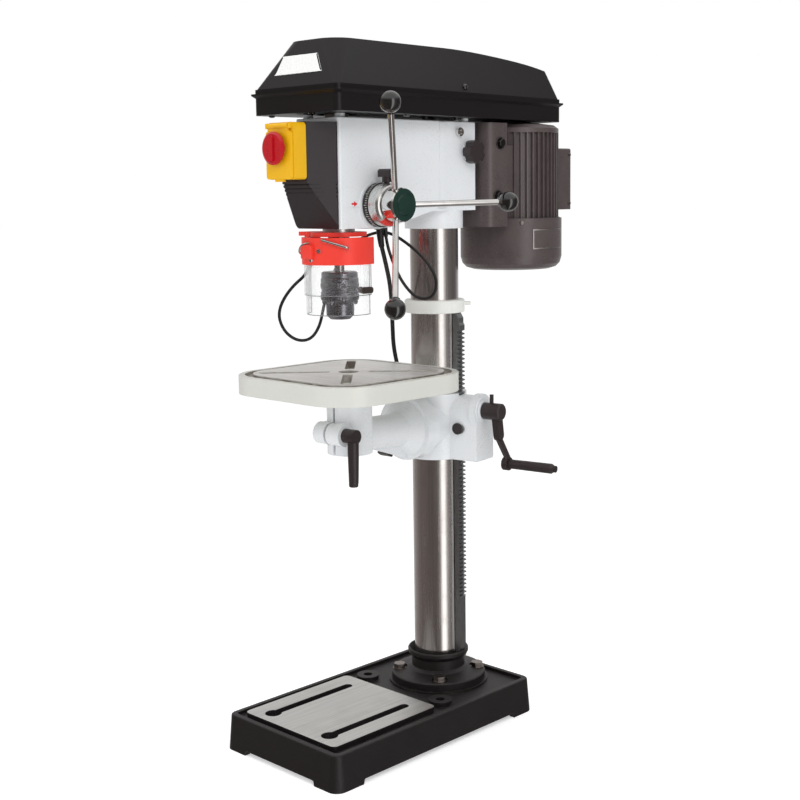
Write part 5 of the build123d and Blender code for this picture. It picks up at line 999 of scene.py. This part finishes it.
# %% [markdown]
# ## Chuck: teeth and key holes
#
# A keyed chuck is turned by a small bevel gear: teeth run round the lower edge of its sleeve, and
# the key's pilot goes into one of three holes in the nose. One tooth is a cone with four sides,
# flattened and set under the sleeve's edge. Spin with duplicates carries it round. The holes are
# short turned rims with a dark bottom.

# %% Copies round an axis
def carry_round(count, centre, axis):
    """Spins what is selected into count copies that share a full turn."""
    turn = 2 * pi * (count - 1) / count
    bpy.ops.mesh.spin(steps=count - 1, dupli=True, angle=turn, center=centre, axis=axis)


# %% Teeth under the sleeve
sleeve_low, sleeve_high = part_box("chuck_sleeve")
chuck_centre = ((sleeve_low + sleeve_high) / 2).to_2d()
tooth_count, tooth_r = 30, 0.0232
chuck_teeth = begin(
    "cone", "chuck_teeth", vertices=4, radius1=0.0024, radius2=0.0007, depth=0.0042,
    location=(chuck_centre.x + tooth_r, chuck_centre.y, sleeve_low.z - 0.0017), rotation=(pi, 0, 0),
)
carry_round(tooth_count, (chuck_centre.x, chuck_centre.y, 0), (0, 0, 1))
outwards(chuck_teeth, 20)
dress(chuck_teeth, chuck_steel, "sleeve")
print("chuck teeth", tooth_count, "faces", len(chuck_teeth.data.polygons))

# %% Key holes and knurled rings
rim_steps = ((-0.8, 3.6), (0.7, 3.6), (0.7, 2.5), (-0.6, 2.4))
key_rim = (turned("key_rim", rim_steps, 28), bolt_steel, "bright_steel")
nose_r, key_level = 19.3, 634.0
for number, angle in enumerate((-52.0, 68.0, 188.0), 1):
    out = outward_at(angle)
    spot = Vector((chuck_centre.x * 1000, chuck_centre.y * 1000, key_level)) + out * nose_r
    set_in_place(key_rim, f"key_hole_{number}", spot, out, "spindle")
flutes, knurl_low_r, knurl_r = 96, 26.62, 26.95
for number, level in enumerate((652.0, 668.0), 1):
    knurl = begin(
        "cylinder", f"sleeve_knurl_{number}", vertices=flutes, radius=knurl_low_r / 1000, depth=0.0052,
        end_fill_type="NOTHING", location=(chuck_centre.x, chuck_centre.y, level / 1000),
    )
    bpy.ops.object.mode_set(mode="OBJECT")
    # Every other flute stands out, so that the band is cut like a coin's edge.
    for vertex in knurl.data.vertices:
        turn = (vertex.co.xy - chuck_centre).angle_signed(Vector((1, 0)))
        if round(turn / (2 * pi / flutes)) % 2:
            vertex.co.xy = chuck_centre + (vertex.co.xy - chuck_centre) * (knurl_r / knurl_low_r)
    thicken(knurl, 0.0006, -1)
    dress(knurl, chuck_steel, "sleeve")
print("key holes and knurls done")

# %% [markdown]
# ## Depth scale
#
# The depth ring carries a scale: a pale line for every small step of the feed, and a longer one
# every fifth. A line is a thin bar laid on the ring's rim, and spin copies it round the feed axis.
# The pointer on the casting is a small red arrow.

# %% Scale lines
dial_low, dial_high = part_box("depth_ring")
dial_centre = (dial_low + dial_high) / 2
rim_r = (dial_high.z - dial_low.z) / 2
scale_paint = painted("scale_paint", (0.72, 0.72, 0.70), (0.35, 0.45), skin=0.02, shade=0.02)
for scale_name, count, long in (("fine", 60, 0.0032), ("long", 12, 0.0056)):
    lines = begin(
        "cube", f"depth_scale_{scale_name}", scale=(long, 0.0005, 0.0004), size=1.0,
        location=(dial_high.x - 0.0006 - long / 2, dial_centre.y, dial_centre.z + rim_r),
    )
    carry_round(count, tuple(dial_centre), (1, 0, 0))
    outwards(lines, 20)
    dress(lines, scale_paint, "depth_ring")
print("scale lines on a rim of radius", round(rim_r, 4))

# %% Feed arrow
arrow = begin("circle", "feed_arrow", vertices=3, radius=0.0042, fill_type="NGON", location=(0, 0, 0))
extrude((0, 0, 0.0003))
pick(arrow, "FACE", lambda face: face.normal.y < -0.9)
bpy.ops.mesh.subdivide(number_cuts=2)
pick(arrow, "FACE", lambda face: face.normal.y < -0.9 and abs(face.calc_center_median().x) < 0.001)
extrude((0, -0.0045, 0))
outwards(arrow, 20)
arrow_red = painted("arrow_red", (0.70, 0.03, 0.03), (0.35, 0.45), skin=0.02, shade=0.04)
arrow_kind = (pattern_from(arrow), arrow_red, "red_plastic")
arrow_place = (44.3, -124.0, 780.5)
set_in_place(arrow_kind, "feed_arrow", arrow_place, (1, 0, 0), "stand", turn=-90)
print("arrow", [round(v, 1) for v in arrow_place])

# %% [markdown]
# ## Bare plates
#
# The lid carries a white plate with a black border, and the fan cowl a small metal plate bent to
# its curve. Both are left bare. The first starts as a plane whose corners are set on the lid's
# slope, is given its thickness, and gets its border by an inset. The second is cut from a
# cylinder of the cowl's own radius, so that it lies close all along.

# %% Nameplate on the lid
plate_white = painted("plate_white", (0.84, 0.84, 0.83), (0.22, 0.32), fine=300.0, skin=0.02, shade=0.02)
slope_out = Vector((0.0, -0.92, 0.39)).normalized()
plate_lift, plate_thick = slope_out * 0.0001, slope_out * 0.0009
corners = ((-49, -181.7, 954.2), (46.5, -181.5, 954.6), (-43, -170.9, 979.6), (27, -170.8, 979.6))
nameplate = begin("plane", "nameplate", size=1.0)
bpy.ops.object.mode_set(mode="OBJECT")
for vertex, corner in zip(nameplate.data.vertices, corners):
    vertex.co = Vector(corner) / 1000 + plate_lift
bpy.ops.object.mode_set(mode="EDIT")
bpy.ops.mesh.select_all(action="SELECT")
extrude(plate_thick)
bpy.ops.mesh.inset(thickness=0.0010, depth=0.0)
bpy.ops.mesh.inset(thickness=0.0011, depth=0.0)
faces = bmesh.from_edit_mesh(nameplate.data).faces
rings = [face for face in faces if face.normal.dot(slope_out) > 0.9 and not face.select]
for face in sorted(rings, key=lambda face: face.calc_area())[:4]:
    face.material_index = 1  # the short strips of both rings are the black border
bmesh.update_edit_mesh(nameplate.data)
outwards(nameplate, 20)
nameplate.data.materials.append(plate_white)
nameplate.data.materials.append(cover_black)
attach(nameplate, "lid")
print("nameplate faces", len(nameplate.data.polygons))

# %% Plate on the fan cowl
plate_metal = bare_metal("plate_metal", (0.62, 0.61, 0.60), (0.30, 0.42), scale=400.0, groove=0.03)
cowl_axis, plate_half = Vector((0, cowl_y / 1000)), radians(26)
data_plate = begin(
    "cylinder", "motor_plate", vertices=144, radius=cowl_r / 1000 + 0.0002, depth=0.0305,
    end_fill_type="NOTHING", location=(*cowl_axis, 0.7216),
)


def off_the_plate(face):
    return (face.calc_center_median().xy - cowl_axis).angle(Vector((1, 0))) > plate_half


pick(data_plate, "FACE", off_the_plate)
bpy.ops.mesh.delete(type="FACE")
bpy.ops.mesh.select_all(action="SELECT")
bpy.ops.mesh.inset(thickness=0.0018, depth=0.0, use_boundary=True)
data_plate.data.materials.append(plate_metal)
data_plate.data.materials.append(motor_black)
data_plate.active_material_index = 1
bpy.ops.object.material_slot_assign()
bpy.ops.object.mode_set(mode="OBJECT")
thicken(data_plate, 0.0007, 1)
bpy.ops.object.shade_smooth_by_angle(angle=radians(30))
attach(data_plate, "motor")
print("motor plate faces", len(data_plate.data.polygons))

# %% [markdown]
# ## Chuck guard fittings
#
# The guard turns on a pivot. A bright spring rod lies across its red band and holds the guard
# open or shut; a moulded block and two screws carry its end. Round wire is a curve with a bevel,
# made into a mesh once it is bent. Where a clear sheet was cut, its edge shows as a grey line, so
# a thin grey wire lies inside the sheet along each cut: a painted shade for the light the edge bends.


# %% Round wire from a bent line
def solid_line(line, finish, body):
    """Turns a bevelled curve into a smooth mesh piece of the same name."""
    bpy.context.view_layer.update()
    name = line.name
    piece = bpy.data.objects.new(name, bpy.data.meshes.new_from_object(line))
    bpy.data.objects.remove(line)
    piece.name = name
    bpy.context.scene.collection.objects.link(piece)
    for polygon in piece.data.polygons:
        polygon.use_smooth = True
    return dress(piece, finish, body)


def wire(name, points, thick, body, finish):
    return solid_line(smooth_route(name, millimetres(*points), thick / 1000), finish, body)


guard_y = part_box("spindle")[0].y * 500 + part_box("spindle")[1].y * 500


def on_guard(angle, reach, height):
    return (reach * cos(radians(angle)), guard_y + reach * sin(radians(angle)), height)


right_spring = (
    (-68, 51.5, 733), (-68, 55.5, 733), (-65, 57.6, 732), (-33, 57.6, 722.5), (-30, 55.5, 721.5),
    (-30, 51.5, 721.5),
)
left_spring = (
    (-128, 51.5, 712), (-126, 56, 713), (-112, 57.5, 722), (-100, 57.5, 727), (-96, 51.5, 728),
)
for spring_name, bends, thick in (
    ("guard_spring", right_spring, 3.6), ("guard_spring_left", left_spring, 3.0),
):
    bent_at = [on_guard(*bend) for bend in bends]
    wire(spring_name, bent_at, thick, "guard_door", chrome)

# %% Cut edges of the clear sheets
# Painted shade: the grey wire inside each cut paints the line that light bent in the clear edge would
# show.
edge_grey = painted("sheet_edge", (0.26, 0.27, 0.28), (0.20, 0.30), skin=0.02, shade=0.05)
for sheet_name, sheet_body, bottom, top, reach in (
    ("outer", "shield_slide", 628.7, 705.0, 45.8), ("inner", "guard_door", 655.7, 697.0, 48.2),
):
    rim = [on_guard(angle, reach, bottom) for angle in range(200, 383, 13)]
    wire(f"{sheet_name}_sheet_rim", rim, 1.0, sheet_body, edge_grey)
    for end_name, angle in (("left", 199.5), ("right", 381.5)):
        ends = [on_guard(angle, reach, height) for height in (bottom, (bottom + top) / 2, top)]
        wire(f"{sheet_name}_sheet_edge_{end_name}", ends, 1.0, sheet_body, edge_grey)

# %% Moulded block with its two screws
block = begin("cube", "guard_block", scale=(0.024, 0.020, 0.009), size=1.0, location=(0, 0, 0))
bpy.ops.mesh.bevel(offset=0.0024, segments=3, affect="EDGES")
outwards(block, 35)
block_kind = (pattern_from(block), guard_red, "red_plastic")
set_in_place(block_kind, "guard_block", on_guard(-97, 53.0, 716), outward_at(-97), "guard_door")
for label, angle, height in (("upper", -74.5, 717.4), ("lower", -90.0, 704.8)):
    spot = on_guard(angle, 51.8, height)
    set_in_place(guard_screw, f"guard_screw_{label}", spot, outward_at(angle), "guard_door")
print("guard fittings done")

# %% [markdown]
# ## Cast ridge, cord ends and tie
#
# A low ridge runs down the head casting where its two walls meet. Where each cord leaves the
# machine, a tapered rubber sleeve keeps it from kinking: it follows the first points of the
# cord's own line and grows thinner along it. The put-away coil is held by a tie.

# %% Ridge down the casting
ridge_x = 0.0462
ridge = begin(
    "cube", "casting_ridge", scale=(0.0030, 0.0150, 0.1230), size=1.0,
    location=(ridge_x, 0.0495, 0.8345),
)
pick(ridge, "EDGE", lambda edge: all(vertex.co.x > ridge_x for vertex in edge.verts))
bpy.ops.mesh.bevel(offset=0.0015, segments=5, affect="EDGES")
outwards(ridge, 40)
dress(ridge, casting_white, "stand")


# %% Strain reliefs
def relief(name, path, long, thick, thin, body):
    """A tapered rubber sleeve along the first points of a cord."""
    used, along = [path[0]], [0.0]
    for point in path[1:]:
        along.append(along[-1] + (point - used[-1]).length)
        used.append(point)
        if along[-1] > long:
            break
    curve = bpy.data.curves.new(name, "CURVE")
    curve.dimensions = "3D"
    spline = curve.splines.new("POLY")
    spline.points.add(len(used) - 1)
    for control, point, reached in zip(spline.points, used, along):
        control.co = (*point, 1.0)
        share_done = reached / along[-1]
        control.radius = (thick * (1 - share_done) + thin * share_done) / 2
    curve.bevel_depth = 1.0
    curve.bevel_resolution = 6
    curve.use_fill_caps = True
    line = bpy.data.objects.new(name, curve)
    bpy.context.scene.collection.objects.link(line)
    print(name, "is", round(along[-1] * 1000, 1), "mm long")
    return solid_line(line, cord_black, body)


mains_relief = relief("mains_relief", mains_path, 0.034, 0.0120, 0.0082, "stand")
signal_relief = relief("signal_relief", signal_path, 0.016, 0.0082, 0.0058, "quill")
relief("signal_end_relief", list(reversed(signal_path)), 0.016, 0.0082, 0.0058, "stand")
gland_steps = ((-3, 8.6), (3.4, 8.6), (4.2, 7.6), (4.4, 6.2))
gland = (turned("gland", gland_steps), handle_black, "black_plastic")
set_in_place(gland, "mains_gland", (8, -42.5, 747.5), (0, 0, -1), "stand")

# %% Tie round the coil
coil_tie = begin(
    "cube", "coil_tie", scale=(0.0046, 0.0146, 0.0186), size=1.0,
    location=(coil_x / 1000, (coil_y + 34.7) / 1000, 0.0101),
)
pick(coil_tie, "FACE", lambda face: abs(face.normal.x) > 0.9)
bpy.ops.mesh.delete(type="FACE")
pick(coil_tie, "EDGE", lambda edge: abs((edge.verts[0].co - edge.verts[1].co).normalized().x) > 0.9)
bpy.ops.mesh.bevel(offset=0.0030, segments=4, affect="EDGES")
outwards(coil_tie, 40)
thicken(coil_tie, 0.0008, 1)
dress(coil_tie, cord_black, "stand")
patterns = (
    socket_bolt, dome_screw, hex_bolt, washer, pan_screw, plug_cap, grip, key_rim, arrow_kind,
    block_kind, gland,
)
for pattern in patterns:
    bpy.data.meshes.remove(pattern[0])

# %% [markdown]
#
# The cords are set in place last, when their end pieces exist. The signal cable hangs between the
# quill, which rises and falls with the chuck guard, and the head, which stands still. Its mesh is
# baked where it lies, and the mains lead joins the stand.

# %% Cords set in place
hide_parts("mains_cord", "cord_coil")
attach(mains_lead, "stand")
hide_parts("guard_cable")
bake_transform(signal_cable)
